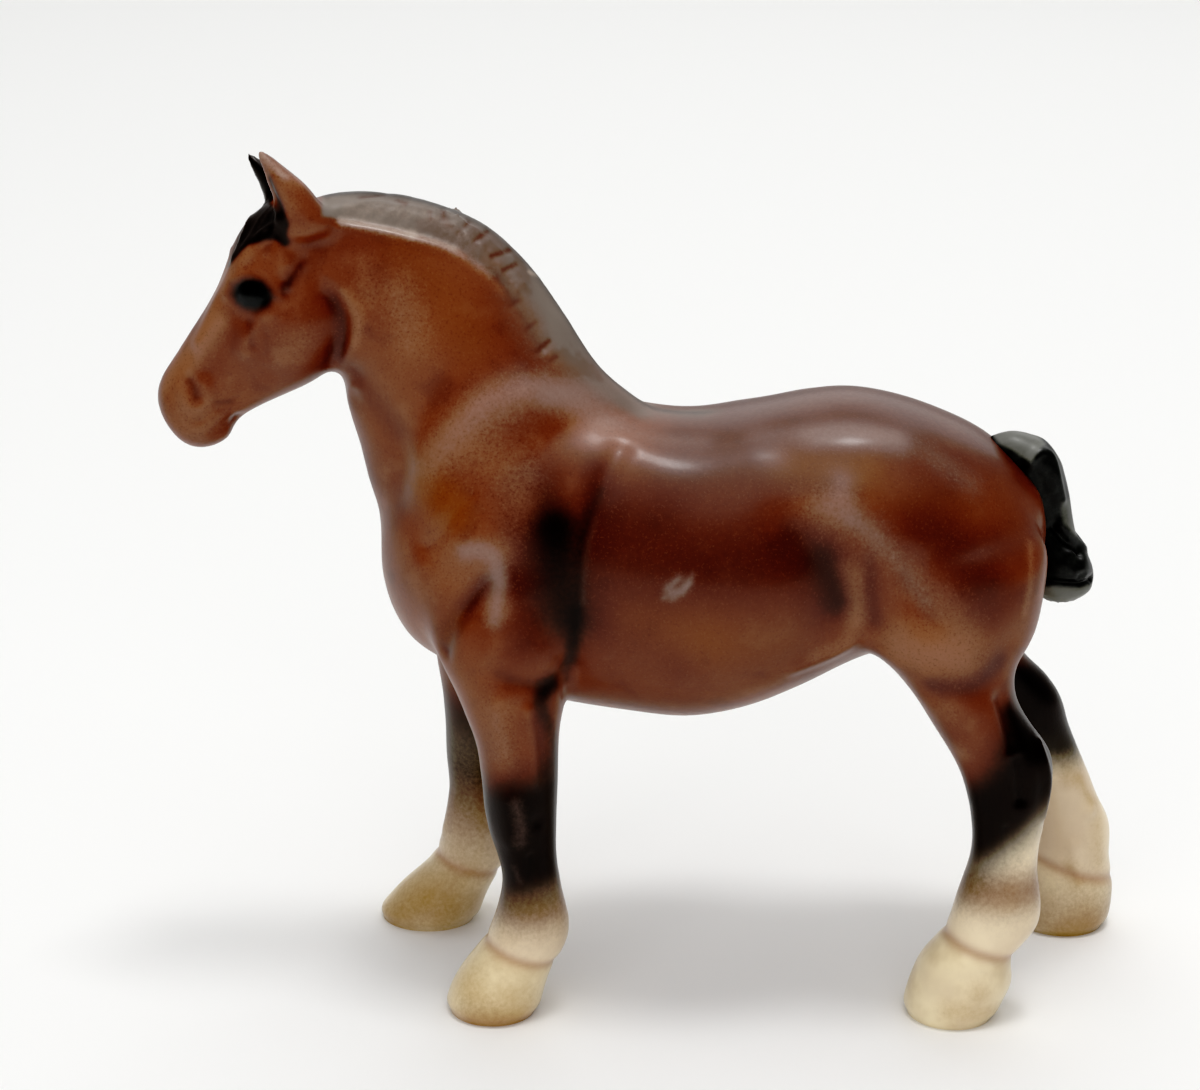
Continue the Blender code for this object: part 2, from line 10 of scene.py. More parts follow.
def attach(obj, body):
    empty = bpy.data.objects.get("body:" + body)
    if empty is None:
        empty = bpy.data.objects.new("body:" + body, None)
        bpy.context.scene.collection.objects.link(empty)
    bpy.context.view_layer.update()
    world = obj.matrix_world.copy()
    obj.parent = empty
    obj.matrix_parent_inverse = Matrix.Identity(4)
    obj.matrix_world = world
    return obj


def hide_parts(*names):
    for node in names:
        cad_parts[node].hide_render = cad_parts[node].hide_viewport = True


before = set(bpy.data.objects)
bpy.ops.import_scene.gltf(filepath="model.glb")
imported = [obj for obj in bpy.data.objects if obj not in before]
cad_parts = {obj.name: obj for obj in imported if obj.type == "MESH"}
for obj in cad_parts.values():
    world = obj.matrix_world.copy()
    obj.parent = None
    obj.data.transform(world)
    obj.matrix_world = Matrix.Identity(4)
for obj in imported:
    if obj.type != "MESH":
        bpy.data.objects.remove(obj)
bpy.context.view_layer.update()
mm = 0.001  # every size below is in millimetres, from the floor's middle under the figure
print("frame loaded:", sorted(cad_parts))

# camera at the photograph's angle; the pixels further down are places in its picture
view = {
    "distance": 260, "rise": 18.4, "aside": 1.0, "roll": 0.9, "aim": (-5.6, 0, 40.56),
    "scale": 11.31, "picture": (1200, 1090),
}
rise, aside = math.radians(view["rise"]), math.radians(view["aside"])
lensBack = Vector((-math.sin(aside) * math.cos(rise), -math.cos(aside) * math.cos(rise), math.sin(rise)))
lensTurn = lensBack.to_track_quat("Z", "Y").to_matrix() @ Matrix.Rotation(math.radians(view["roll"]), 3, "Z")
lensAt = Vector(view["aim"]) + lensBack * view["distance"]
focal = view["scale"] * view["distance"]
camera = bpy.data.objects.new("camera", bpy.data.cameras.new("camera"))
bpy.context.collection.objects.link(camera)
camera.matrix_world = Matrix.Translation(lensAt * mm) @ lensTurn.to_4x4()
camera.data.lens = camera.data.sensor_width * focal / view["picture"][0]
camera.data.clip_start = 0.01
bpy.context.scene.camera = camera


def lensRay(px, py):
    # the way from the lens through a pixel of the photograph
    wide, high = view["picture"]
    aim = lensTurn @ Vector(((px - wide / 2) / focal, (high / 2 - py) / focal, -1))
    return lensAt, aim.normalized()


def inPicture(points):
    # the pixel that each point falls on, seen from the point's own side of the figure
    wide, high = view["picture"]
    own = points * (1, -1, 1)
    own[:, 1] = -np.abs(own[:, 1])
    seen = (own - np.array(lensAt)) @ np.array(lensTurn)
    near = focal / seen[:, 2]
    return np.stack([wide / 2 - near * seen[:, 0], high / 2 + near * seen[:, 1]], 1)


# how fine the moulding is, and how softly its limbs run together
clay = {
    "step": 0.27,
    "coreStep": 0.42,
    "tailStep": 0.2,
    "ringSides": 72,
    "ringsPerStation": 5,
    "softenPasses": 16,
    "tidyPasses": 2,
    "seamGap": 0.002,
}

# stations: upper edge x and z, lower edge x and z, half width, roundness (2 is an oval)
trunk = {
    "widest": -0.06,
    "stations": [
        (-24.8, 43.5, -24.8, 38.2, 3.0, 2.0), (-23.9, 46.0, -23.9, 35.0, 5.4, 2.0),
        (-22.0, 49.4, -22.0, 32.0, 7.8, 2.0), (-18.9, 52.4, -18.9, 30.1, 9.6, 2.1),
        (-14.6, 53.9, -14.6, 28.0, 10.6, 2.1), (-8.6, 54.5, -8.6, 26.7, 11.3, 2.15),
        (-2.4, 53.3, -2.4, 25.9, 12.0, 2.2), (2.4, 52.8, 2.4, 25.6, 12.7, 2.2),
        (7.5, 53.5, 7.5, 26.7, 13.1, 2.2), (12.4, 54.5, 12.4, 28.8, 12.6, 2.2),
        (16.3, 54.9, 16.3, 30.9, 12.1, 2.2), (20.6, 54.2, 20.6, 32.6, 11.6, 2.15),
        (24.5, 52.9, 24.5, 33.4, 10.9, 2.1), (27.9, 51.3, 27.9, 35.0, 9.4, 2.05),
        (30.8, 48.9, 30.8, 37.1, 7.2, 2.0), (32.5, 46.4, 32.5, 39.5, 4.4, 2.0),
        (33.2, 44.4, 33.2, 41.2, 2.2, 2.0),
    ],
}
neck = {
    "widest": -0.20,
    "stations": [
        (-31.4, 71.2, -28.6, 60.3, 3.1, 2.0), (-28.6, 72.0, -28.6, 57.2, 3.7, 1.95),
        (-25.0, 72.2, -28.1, 54.8, 4.2, 1.85), (-20.5, 71.4, -27.5, 52.1, 4.7, 1.75),
        (-15.8, 69.5, -26.7, 49.4, 5.4, 1.7), (-12.1, 66.2, -26.1, 46.6, 6.3, 1.65),
        (-8.9, 61.7, -25.1, 43.5, 7.4, 1.65), (-5.7, 56.8, -24.7, 40.2, 8.6, 1.7),
        (-1.2, 53.1, -21.9, 36.5, 9.3, 1.8), (2.7, 50.4, -15.8, 33.6, 8.6, 2.0),
    ],
}
head = {
    "widest": 0.05,
    "stations": [
        (-33.2, 71.5, -26.9, 64.3, 2.7, 2.0), (-35.2, 70.4, -26.8, 61.6, 3.9, 2.1),
        (-36.9, 68.3, -27.4, 59.1, 4.6, 2.3), (-37.9, 65.9, -28.6, 57.0, 4.8, 2.4),
        (-38.7, 63.8, -30.6, 55.4, 4.5, 2.4), (-40.0, 61.5, -33.0, 54.2, 3.8, 2.4),
        (-41.4, 59.4, -35.2, 53.1, 3.2, 2.4), (-42.6, 57.5, -37.2, 51.8, 2.95, 2.3),
        (-43.8, 55.7, -38.5, 49.9, 3.05, 2.3), (-44.3, 54.1, -40.2, 49.1, 2.95, 2.2),
        (-44.0, 52.5, -42.0, 49.6, 2.1, 2.0),
    ],
}
# ears in ear lengths from the base: front edge x and z, back edge x and z, half thickness
ears = {
    "base": (-30.7, 69.9),
    "nearLength": 7.1, "nearLean": 0,
    "farBase": (-32.0, 68.9), "farLength": 6.8, "farLean": 4,
    "spread": 3.1,
    "stations": [
        (-0.32, -0.22, 0.36, -0.10, 0.23), (-0.39, 0.15, 0.24, 0.18, 0.23),
        (-0.48, 0.45, -0.03, 0.49, 0.18), (-0.57, 0.72, -0.32, 0.73, 0.12),
        (-0.63, 0.89, -0.53, 0.91, 0.06),
    ],
}
# legs: half width and distance from the middle plane, then height, front x and back x
legWidths = {
    "Fore": [
        (4.6, 6.3), (5.0, 6.9), (4.8, 7.6), (4.3, 8.1), (3.9, 8.4), (3.6, 8.6), (3.4, 8.8), (3.2, 9.0),
        (2.9, 9.1), (2.7, 9.2), (2.6, 9.3), (2.8, 9.4), (3.2, 9.5), (3.4, 9.5), (3.6, 9.5), (3.8, 9.5),
        (4.1, 9.5), (4.3, 9.5), (4.3, 9.5), (4.2, 9.5),
    ],
    "Hind": [
        (3.2, 4.8), (5.3, 6.3), (5.5, 6.9), (5.2, 7.4), (4.7, 7.8), (4.2, 8.2), (3.8, 8.5), (3.5, 8.8),
        (3.3, 8.9), (3.1, 9.1), (2.8, 9.2), (2.7, 9.3), (2.9, 9.4), (3.3, 9.5), (3.5, 9.5), (3.6, 9.5),
        (3.9, 9.5), (4.2, 9.5), (4.3, 9.5), (4.3, 9.5), (4.2, 9.5),
    ],
}
legs = {
    "nearFore": [
        (40.0, -21.0, -6.7), (36.0, -20.7, -7.1), (33.0, -19.7, -7.6), (30.0, -18.2, -8.3),
        (27.5, -17.2, -8.8), (25.0, -16.3, -9.0), (22.0, -15.9, -9.0), (19.0, -15.6, -9.1),
        (17.0, -15.2, -9.1), (15.3, -14.6, -9.1), (13.0, -14.0, -8.8), (11.0, -14.2, -8.4),
        (9.0, -14.7, -7.9), (7.4, -15.3, -7.9), (6.0, -16.1, -8.4), (4.8, -17.0, -9.2), (3.2, -18.0, -9.8),
        (1.6, -18.7, -10.2), (0.0, -19.0, -10.5), (-4.0, -19.0, -10.5),
    ],
    "farFore": [
        (40.0, -21.6, -8.3), (36.0, -21.6, -9.3), (33.0, -21.2, -10.3), (30.0, -20.8, -11.1),
        (27.5, -20.6, -11.8), (25.0, -20.2, -12.4), (22.0, -19.8, -12.9), (19.0, -19.7, -13.2),
        (17.0, -19.7, -13.5), (15.3, -19.5, -13.9), (13.0, -19.3, -14.1), (11.0, -19.5, -13.8),
        (9.0, -19.9, -13.3), (7.4, -20.4, -13.3), (6.0, -21.0, -13.9), (4.8, -22.1, -14.5),
        (3.2, -23.8, -15.4), (1.6, -25.2, -16.0), (0.0, -26.2, -16.4), (-4.0, -26.2, -16.4),
    ],
    "nearHind": [
        (46.2, 18.3, 30.0), (42.8, 14.9, 32.6), (38.0, 15.3, 32.6), (35.0, 16.5, 31.9), (32.6, 19.5, 30.6),
        (30.0, 21.7, 30.7), (27.5, 23.3, 32.1), (25.2, 24.8, 33.9), (23.0, 26.0, 34.4), (20.5, 26.8, 34.1),
        (17.8, 27.3, 33.7), (15.2, 27.3, 33.4), (13.0, 26.7, 33.6), (10.8, 26.1, 34.0), (8.8, 25.7, 33.8),
        (7.0, 24.7, 32.4), (5.4, 23.4, 31.4), (3.6, 22.7, 31.8), (1.6, 22.2, 31.0), (0.0, 22.0, 30.5),
        (-4.0, 22.0, 30.5),
    ],
    "farHind": [
        (45.8, 18.5, 29.0), (42.0, 15.3, 32.6), (38.0, 16.3, 32.7), (35.0, 18.3, 32.3), (32.6, 20.8, 32.0),
        (30.0, 23.6, 32.8), (27.5, 26.2, 34.2), (25.5, 28.1, 36.3), (23.3, 29.8, 37.9), (20.5, 31.5, 38.8),
        (17.6, 33.5, 40.1), (15.2, 34.9, 41.2), (13.0, 35.7, 42.1), (10.8, 36.0, 43.3), (8.8, 35.9, 43.6),
        (7.0, 35.5, 43.5), (5.4, 35.1, 44.0), (3.6, 34.8, 44.1), (1.6, 34.7, 44.0), (0.0, 34.7, 43.7),
        (-4.0, 34.7, 43.7),
    ],
}
for key, rows in legs.items():
    legs[key] = [row + width for row, width in zip(rows, legWidths[key[-4:]])]
legSides = {"nearFore": -1, "farFore": 1, "nearHind": -1, "farHind": 1}


def curveThrough(rows, steps):
    # a smooth curve that passes through every row of numbers
    rows = np.array(rows, float)
    out = []
    for i in range(len(rows) - 1):
        a, b, c, d = rows[max(i - 1, 0)], rows[i], rows[i + 1], rows[min(i + 2, len(rows) - 1)]
        for t in np.arange(steps) / steps:
            out.append(b + 0.5 * t * (c - a + t * (2 * a - 5 * b + 4 * c - d + t * (3 * (b - c) + d - a))))
    return np.array(out + [rows[-1]])


def pairs(flat):
    # places on the photograph, from a plain row of numbers
    return np.reshape(flat, (-1, 2))


def ease(value, start, end):
    # nought before start, one after end, and smooth between
    t = np.clip((value - start) / (end - start), 0, 1)
    return t * t * (3 - 2 * t)


def loft(stations, widest=0.0):
    # rings of an oval between an upper and a lower edge point, skinned and closed at both ends
    # a station may end with its distance from the middle plane
    turn = np.linspace(0, math.tau, clay["ringSides"], endpoint=False)
    rings = []
    for ux, uz, lx, lz, half, power, *out in curveThrough(stations, clay["ringsPerStation"]):
        up = np.sign(np.cos(turn)) * np.abs(np.cos(turn)) ** (2 / power)
        wide = np.sign(np.sin(turn)) * np.abs(np.sin(turn)) ** (2 / power)
        up = up + widest * (1 - np.abs(up))
        x = (ux + lx) / 2 + (ux - lx) / 2 * up
        z = (uz + lz) / 2 + (uz - lz) / 2 * up
        rings.append(np.stack([x, half * wide + (out[0] if out else 0), z], 1))
    count, n = clay["ringSides"], len(rings)
    faces = [tuple(range(count)), tuple(range((n - 1) * count, n * count))[::-1]]
    for i in range(n - 1):
        for j in range(count):
            k = (j + 1) % count
            faces.append((i * count + k, i * count + j, (i + 1) * count + j, (i + 1) * count + k))
    return np.concatenate(rings), faces


def legStations(rows, side):
    return [(front, z, back, z, half, 2.0, side * out) for z, front, back, half, out in rows]


def earStations(base, length, lean, side):
    c, s = math.cos(math.radians(lean)), math.sin(math.radians(lean))
    bx, bz = base
    rows = []
    for fx, fz, kx, kz, half in ears["stations"]:
        rows.append((bx + length * (fx * c - fz * s), bz + length * (fz * c + fx * s),
                     bx + length * (kx * c - kz * s), bz + length * (kz * c + kx * s),
                     length * half, 2.0, side * ears["spread"]))
    return rows


def addObject(name, mesh):
    made = bpy.data.objects.new(name, mesh)
    bpy.context.collection.objects.link(made)
    return made


def evaluated(item):
    # the object's mesh with its modifiers run
    graph = bpy.context.evaluated_depsgraph_get()
    mesh = bpy.data.meshes.new_from_object(item.evaluated_get(graph))
    bpy.data.objects.remove(item)
    return mesh


def fuse(name, solids, step):
    # one skin round all the solids, as a mesh in metres
    verts, faces, start = [], [], 0
    for points, polys in solids:
        verts += (points * mm).tolist()
        faces += [tuple(i + start for i in poly) for poly in polys]
        start += len(points)
    mesh = bpy.data.meshes.new(name)
    mesh.from_pydata(verts, [], faces)
    shape = bmesh.new()
    shape.from_mesh(mesh)
    bmesh.ops.recalc_face_normals(shape, faces=shape.faces)
    shape.to_mesh(mesh)
    shape.free()
    rough = addObject(name, mesh)
    remesh = rough.modifiers.new("skin", "REMESH")
    remesh.mode = "VOXEL"
    remesh.voxel_size = step * mm
    return evaluated(rough)


class Wire:
    # one socket of a node tree; sums on it add Math nodes
    def __init__(self, tree, socket=None):
        self.tree = tree
        self.socket = socket

    def node(self, kind, settings=None, values=None, out=0):
        made = self.tree.nodes.new(kind)
        for name, value in (settings or {}).items():
            if name == "stops":
                for place, colour in value:
                    stop = made.color_ramp.elements.new(place)
                    stop.color = colour
                made.color_ramp.elements.remove(made.color_ramp.elements[0])
                made.color_ramp.elements.remove(made.color_ramp.elements[-1])
            else:
                setattr(made, name, value)
        for key, value in (values or {}).items():
            if isinstance(value, Wire):
                self.tree.links.new(value.socket, made.inputs[key])
            else:
                made.inputs[key].default_value = value
        return Wire(self.tree, made.outputs[out])

    def sum(self, operation, *terms):
        return self.node("ShaderNodeMath", {"operation": operation}, dict(enumerate(terms)))

    def __add__(self, other):
        return self.sum("ADD", self, other)

    __radd__ = __add__

    def __mul__(self, other):
        return self.sum("MULTIPLY", self, other)

    __rmul__ = __mul__

    def __sub__(self, other):
        return self.sum("SUBTRACT", self, other)

    def __rsub__(self, other):
        return self.sum("SUBTRACT", other, self)

    def clamped(self):
        return self.node("ShaderNodeClamp", None, {"Value": self})

    def eased(self, start, end):
        settings = {"interpolation_type": "SMOOTHSTEP"}
        return self.node("ShaderNodeMapRange", settings, {"Value": self, "From Min": start, "From Max": end})

    def mixed(self, one, two):
        # this wire picks between two colours
        return self.node("ShaderNodeMix", {"data_type": "RGBA"}, {0: self, 6: one, 7: two}, 2)


def grow(name, lines, sizes, build):
    # a Geometry Nodes tree run on open lines of points, as points and faces in millimetres
    verts, edges = [], []
    for line in lines:
        start = len(verts)
        verts += (np.array(line) * mm).tolist()
        edges += [(i, i + 1) for i in range(start, len(verts) - 1)]
    mesh = bpy.data.meshes.new(name)
    mesh.from_pydata(verts, edges, [])
    stem = addObject(name, mesh)
    tree = bpy.data.node_groups.new(name, "GeometryNodeTree")
    tree.interface.new_socket("Geometry", in_out="INPUT", socket_type="NodeSocketGeometry")
    tree.interface.new_socket("Geometry", in_out="OUTPUT", socket_type="NodeSocketGeometry")
    values = {}
    for label, value in sizes.items():
        kind = {int: "Int", float: "Float"}.get(type(value), "Material")
        socket = tree.interface.new_socket(label, in_out="INPUT", socket_type="NodeSocket" + kind)
        values[socket.identifier] = value
    entry = tree.nodes.new("NodeGroupInput")
    ports = {socket.name: Wire(tree, socket) for socket in entry.outputs if socket.name}
    curve = Wire(tree).node("GeometryNodeMeshToCurve", None, {"Mesh": ports["Geometry"]})
    made = build(Wire(tree), ports, curve)
    made = made.node("GeometryNodeRealizeInstances", None, {"Geometry": made})
    last = made.node("GeometryNodeSetMaterial", None, {"Geometry": made, "Material": ports["Paint"]})
    tree.links.new(last.socket, tree.nodes.new("NodeGroupOutput").inputs[0])
    modifier = stem.modifiers.new(name, "NODES")
    modifier.node_group = tree
    for identifier, value in values.items():
        modifier[identifier] = value
    made = evaluated(stem)
    points = np.array([vertex.co for vertex in made.vertices]) / mm
    return points, [tuple(face.vertices) for face in made.polygons]


class Clay:
    # a mesh's points as arrays in millimetres, carved and painted by strokes
    def __init__(self, mesh):
        self.mesh = mesh
        n = len(mesh.vertices)
        flat = np.empty(n * 3)
        mesh.vertices.foreach_get("co", flat)
        self.at = flat.reshape(-1, 3) / mm
        pairs = np.empty(len(mesh.edges) * 2, np.int64)
        mesh.edges.foreach_get("vertices", pairs)
        pairs = pairs.reshape(-1, 2)
        self.one, self.two = np.concatenate([pairs, pairs[:, ::-1]]).T
        self.valence = np.maximum(np.bincount(self.one, minlength=n), 1)
        self.paint = {}
        self.settle()

    def around(self, values):
        # each point's neighbours, averaged
        values = values.reshape(len(self.at), -1)
        out = [np.bincount(self.one, values[self.two, k], len(values)) for k in range(values.shape[1])]
        return np.stack(out, 1) / self.valence[:, None]

    def soften(self, passes, strength=0.5):
        strength = np.broadcast_to(np.asarray(strength, float), (len(self.at),))[:, None]
        for _ in range(passes):
            self.at = self.at + (self.around(self.at) - self.at) * strength

    def settle(self):
        # strokes are laid on the skin as it is now
        self.rest = self.at.copy()
        faces = [tuple(face.vertices) for face in self.mesh.polygons]
        self.skin = BVHTree.FromPolygons(self.at.tolist(), faces)

    def normals(self):
        self.write()
        flat = np.empty(len(self.at) * 3)
        self.mesh.vertices.foreach_get("normal", flat)
        return flat.reshape(-1, 3)

    def write(self):
        self.mesh.vertices.foreach_set("co", (self.at * mm).ravel())
        self.mesh.update()

    def touch(self, spot):
        # the skin's point behind a pixel of the photograph, or nearest to a place in millimetres
        if len(spot) == 3:
            return self.skin.find_nearest(Vector(spot))[0]
        start, way = lensRay(*spot)
        hit = self.skin.ray_cast(start, way)[0]
        return hit or self.skin.find_nearest(start + way * view["distance"])[0]

    def trail(self, spots, mirrored=False):
        # points on the skin along a curve through a few spots
        spots = curveThrough(spots, 14) if len(spots) > 1 else spots
        points = [self.touch(tuple(spot)) for spot in spots]
        if mirrored:
            points = [self.skin.find_nearest(Vector((p.x, -p.y, p.z)))[0] for p in points]
        return np.array(points)

    def stroke(self, spots, width, both=True):
        # one along the curve, fading to nothing over a few widths
        weight = np.zeros(len(self.rest))
        for mirrored in (False, True) if both else (False,):
            points = self.trail(spots, mirrored)
            low, high = points.min(0) - 2.6 * width, points.max(0) + 2.6 * width
            inside = np.nonzero(((self.rest > low) & (self.rest < high)).all(1))[0]
            block = self.rest[inside]
            best = np.full(len(block), np.inf)
            for point in points:
                np.minimum(best, ((block - point) ** 2).sum(1), out=best)
            weight[inside] = np.maximum(weight[inside], np.exp(-best / width ** 2))
        return weight

    def patch(self, outline, soft):
        # one inside an outline drawn on the photograph, on both sides of the figure
        seen = inPicture(self.rest)
        outline = np.array(outline, float)
        gap = np.full(len(seen), np.inf)
        inside = np.zeros(len(seen), bool)
        for a, b in zip(outline, np.roll(outline, -1, 0)):
            t = np.clip(((seen - a) @ (b - a)) / ((b - a) @ (b - a)), 0, 1)
            np.minimum(gap, np.hypot(*(seen - a - t[:, None] * (b - a)).T), out=gap)
            crosses = (a[1] > seen[:, 1]) != (b[1] > seen[:, 1])
            slope = (b[0] - a[0]) / ((b[1] - a[1]) or 1)
            inside ^= crosses & (seen[:, 0] < a[0] + (seen[:, 1] - a[1]) * slope)
        depth = np.where(inside, gap, -gap) / view["scale"]
        return ease(depth, -soft / 2, soft / 2)

    def carve(self, marks):
        # raise or cut the skin: width, height and places of each mark
        move = np.zeros(len(self.at))
        for name, (width, height, *spots) in marks.items():
            move += height * self.stroke(pairs(spots), width, name not in oneSided)
        self.push(move)

    def push(self, height):
        self.at = self.at + self.normals() * height[:, None]

    def spray(self, name, weight):
        # one more coat of a paint over what is there
        self.paint[name] = 1 - (1 - self.paint.get(name, 0.0)) * (1 - np.clip(weight, 0, 1))

    def airbrush(self, name, marks, both=True):
        # spray along lines: width, strength and places of each
        for width, strength, *spots in marks:
            self.spray(name, strength * self.stroke(pairs(spots), width, both))

    def store(self):
        self.write()
        for name, weight in self.paint.items():
            layer = self.mesh.attributes.new(name, "FLOAT", "POINT")
            layer.data.foreach_set("value", np.clip(weight, 0, 1).astype(np.float32))


def lockTree(tree, port, curve):
    # locks of hair in a row along each line, turning from along it to down and back
    spaced = {"Curve": curve, "Length": port["Spacing"]}
    row = tree.node("GeometryNodeResampleCurve", {"mode": "LENGTH"}, spaced)
    along = tree.node("GeometryNodeSplineParameter")
    tangent = tree.node("GeometryNodeInputTangent")
    down = tree.node("ShaderNodeCombineXYZ", None, {"X": port["Back"], "Z": -1.0})
    turn = along.eased(port["Turn Start"], port["Turn End"])
    way = tree.node("ShaderNodeMix", {"data_type": "VECTOR"}, {0: turn, 4: tangent, 5: down}, 1)
    loose = {0: (-mane["stray"],) * 3, 1: (mane["stray"],) * 3, "Seed": port["Seed"]}
    stray = tree.node("FunctionNodeRandomValue", {"data_type": "FLOAT_VECTOR"}, loose)
    way = tree.node("ShaderNodeVectorMath", {"operation": "ADD"}, {0: way, 1: stray})
    lie = tree.node("FunctionNodeAlignRotationToVector", {"axis": "Z"}, {"Vector": way})
    least, most = mane["sizes"]
    size = {2: least, 3: most, "Seed": port["Seed"]}
    size = tree.node("FunctionNodeRandomValue", {"data_type": "FLOAT"}, size, 1)
    shape = {"X": port["Width"] * size, "Y": port["Width"] * size, "Z": port["Length"] * size}
    shape = tree.node("ShaderNodeCombineXYZ", None, shape)
    lock = tree.node("GeometryNodeMeshIcoSphere", None, {"Radius": 1.0, "Subdivisions": 2})
    laid = {"Points": row, "Instance": lock, "Rotation": lie, "Scale": shape}
    return tree.node("GeometryNodeInstanceOnPoints", None, laid)


def strandTree(tree, port, curve):
    # a round strand along each line, thin at both ends
    row = tree.node("GeometryNodeResampleCurve", {"mode": "COUNT"}, {"Curve": curve, "Count": port["Steps"]})
    along = tree.node("GeometryNodeSplineParameter")
    swell = (along * (1 - along) * 4).sum("POWER", port["Taper"])
    wide = {2: 0.7, 3: 1.2, "Seed": port["Seed"]}  # thinnest and thickest strand
    wide = tree.node("FunctionNodeRandomValue", {"data_type": "FLOAT"}, wide, 1)
    wide = tree.node("GeometryNodeFieldOnDomain", {"data_type": "FLOAT", "domain": "CURVE"}, {0: wide})
    radius = swell * wide * port["Radius"]
    profile = tree.node("GeometryNodeCurvePrimitiveCircle", None, {"Resolution": 10, "Radius": 1.0})
    swept = {"Curve": row, "Profile Curve": profile, "Scale": radius, "Fill Caps": True}
    return tree.node("GeometryNodeCurveToMesh", None, swept)


# the body's plain masses in one soft skin
solids = [loft(trunk["stations"], trunk["widest"]), loft(neck["stations"], neck["widest"]),
          loft(head["stations"], head["widest"])]
for key, side in legSides.items():
    solids.append(loft(legStations(legs[key], side)))
solids.append(loft(earStations(ears["base"], ears["nearLength"], ears["nearLean"], -1)))
solids.append(loft(earStations(ears["farBase"], ears["farLength"], ears["farLean"], 1)))
core = Clay(fuse("core", solids, clay["coreStep"]))
thin = ease(core.at[:, 2], 71.5, 73.5) + 1 - ease(core.at[:, 2], 2, 7)
core.soften(clay["softenPasses"], 0.5 - 0.35 * thin)
core.settle()
print("core skin:", len(core.at), "points")

coatPaint = bpy.data.materials.new("sprayedBay")
tailPaint = bpy.data.materials.new("blackTailPaint")

# the mane: rows of locks laid on the crest, and loose ones on the forehead
mane = {
    "rows": [
        [(338, 207), (372, 209), (410, 216), (444, 227), (474, 244), (498, 266), (516, 292)],
        [(342, 200), (375, 201), (412, 206), (448, 217), (480, 236), (506, 259), (526, 288)],
    ],
    "forelock": [
        [(262, 196), (252, 214), (243, 236), (235, 262)], [(272, 206), (262, 218), (251, 238), (240, 258)],
        [(280, 220), (268, 230), (256, 243)], [(258, 184), (250, 200), (240, 225), (231, 250)],
    ],
    "spacing": 0.95, "width": 0.21, "length": 1.2, "back": 0.45, "seed": 7,
    "stray": 0.12, "sizes": (0.75, 1.2),
    "strandRadius": 0.42, "strandTaper": 0.45, "strandSteps": 24,
}
rows = [core.trail(row, mirrored) for row in mane["rows"] for mirrored in (False, True)]
sizes = {
    "Spacing": mane["spacing"] * mm, "Width": mane["width"] * mm, "Length": mane["length"] * mm,
    "Back": mane["back"], "Turn Start": 0.25, "Turn End": 0.75, "Seed": mane["seed"], "Paint": coatPaint,
}
locks = grow("maneLocks", rows, sizes, lockTree)
rows = [core.trail(row, mirrored) for row in mane["forelock"] for mirrored in (False, True)]
sizes = {
    "Radius": mane["strandRadius"] * mm, "Taper": mane["strandTaper"], "Steps": mane["strandSteps"],
    "Seed": mane["seed"], "Paint": coatPaint,
}
strands = grow("forelockStrands", rows, sizes, strandTree)
print("mane locks:", len(locks[1]), "faces, forelock:", len(strands[1]))

core.write()
skin = (core.at, [tuple(face.vertices) for face in core.mesh.polygons])
body = Clay(fuse("body", [skin, locks, strands], clay["step"]))
body.soften(clay["tidyPasses"])
body.settle()
print("body skin:", len(body.at), "points")

# what the sculptor cut and raised: width, height and places on the photograph
oneSided = {"earHollow", "hockBone", "cannonBone", "farKnee"}  # the others are on both sides of the figure
headMarks = {
    "eyeSocket": (2.3, -0.4, 250, 295), "eyeball": (1.15, 0.6, 248, 294, 256, 294),
    "upperLid": (0.5, 0.25, 228, 296, 234, 282, 250, 274, 266, 280, 278, 294),
    "lowerLid": (0.6, 0.06, 231, 303, 242, 313, 256, 316, 270, 310, 279, 300),
    "cheekDent": (0.5, -0.14, 250, 322, 254, 344), "cheekChip": (0.5, -0.12, 262, 324, 270, 340, 268, 356),
    "cheekPit": (0.7, -0.1, 284, 352), "brow": (1.0, 0.15, 240, 268, 256, 262, 274, 268),
    "foreheadHollow": (0.9, -0.2, 266, 246), "foreheadSwell": (0.8, 0.18, 279, 250, 284, 262),
    "behindEye": (0.7, -0.3, 288, 284, 296, 272, 304, 262),
    "frontRidge": (0.9, 0.35, 262, 236, 240, 258, 226, 286, 214, 310, 200, 342),
    "noseHollow": (1.1, -0.25, 234, 318, 220, 348, 208, 372),
    "cheekbone": (0.8, 0.3, 268, 314, 254, 334, 246, 352), "cheekNick": (0.3, -0.15, 252, 346, 262, 331),
    "cheek": (3.3, 0.6, 300, 332),
    "cheekGroove": (0.9, -0.32, 328, 296, 339, 312, 342, 330, 340, 346, 332, 360),
    "jawBack": (0.8, 0.24, 322, 268, 346, 292, 358, 314, 357, 338, 340, 368),
    "jawHollow": (1.3, -0.25, 266, 372, 246, 386), "nostril": (0.6, -0.28, 188, 381, 194, 388, 196, 398),
    "nostrilRim": (0.7, 0.22, 182, 385, 185, 395, 188, 404),
    "nostrilBack": (0.7, 0.2, 203, 384, 208, 396, 204, 408),
    "mouth": (0.45, -0.18, 238, 398, 226, 404, 212, 410, 198, 420),
    "lowerLip": (0.8, 0.15, 218, 418, 202, 430), "chin": (1.0, 0.25, 226, 434),
    "chinGroove": (0.6, -0.3, 236, 418), "earHollow": (0.5, -0.25, 264, 170, 272, 192, 281, 210),
}
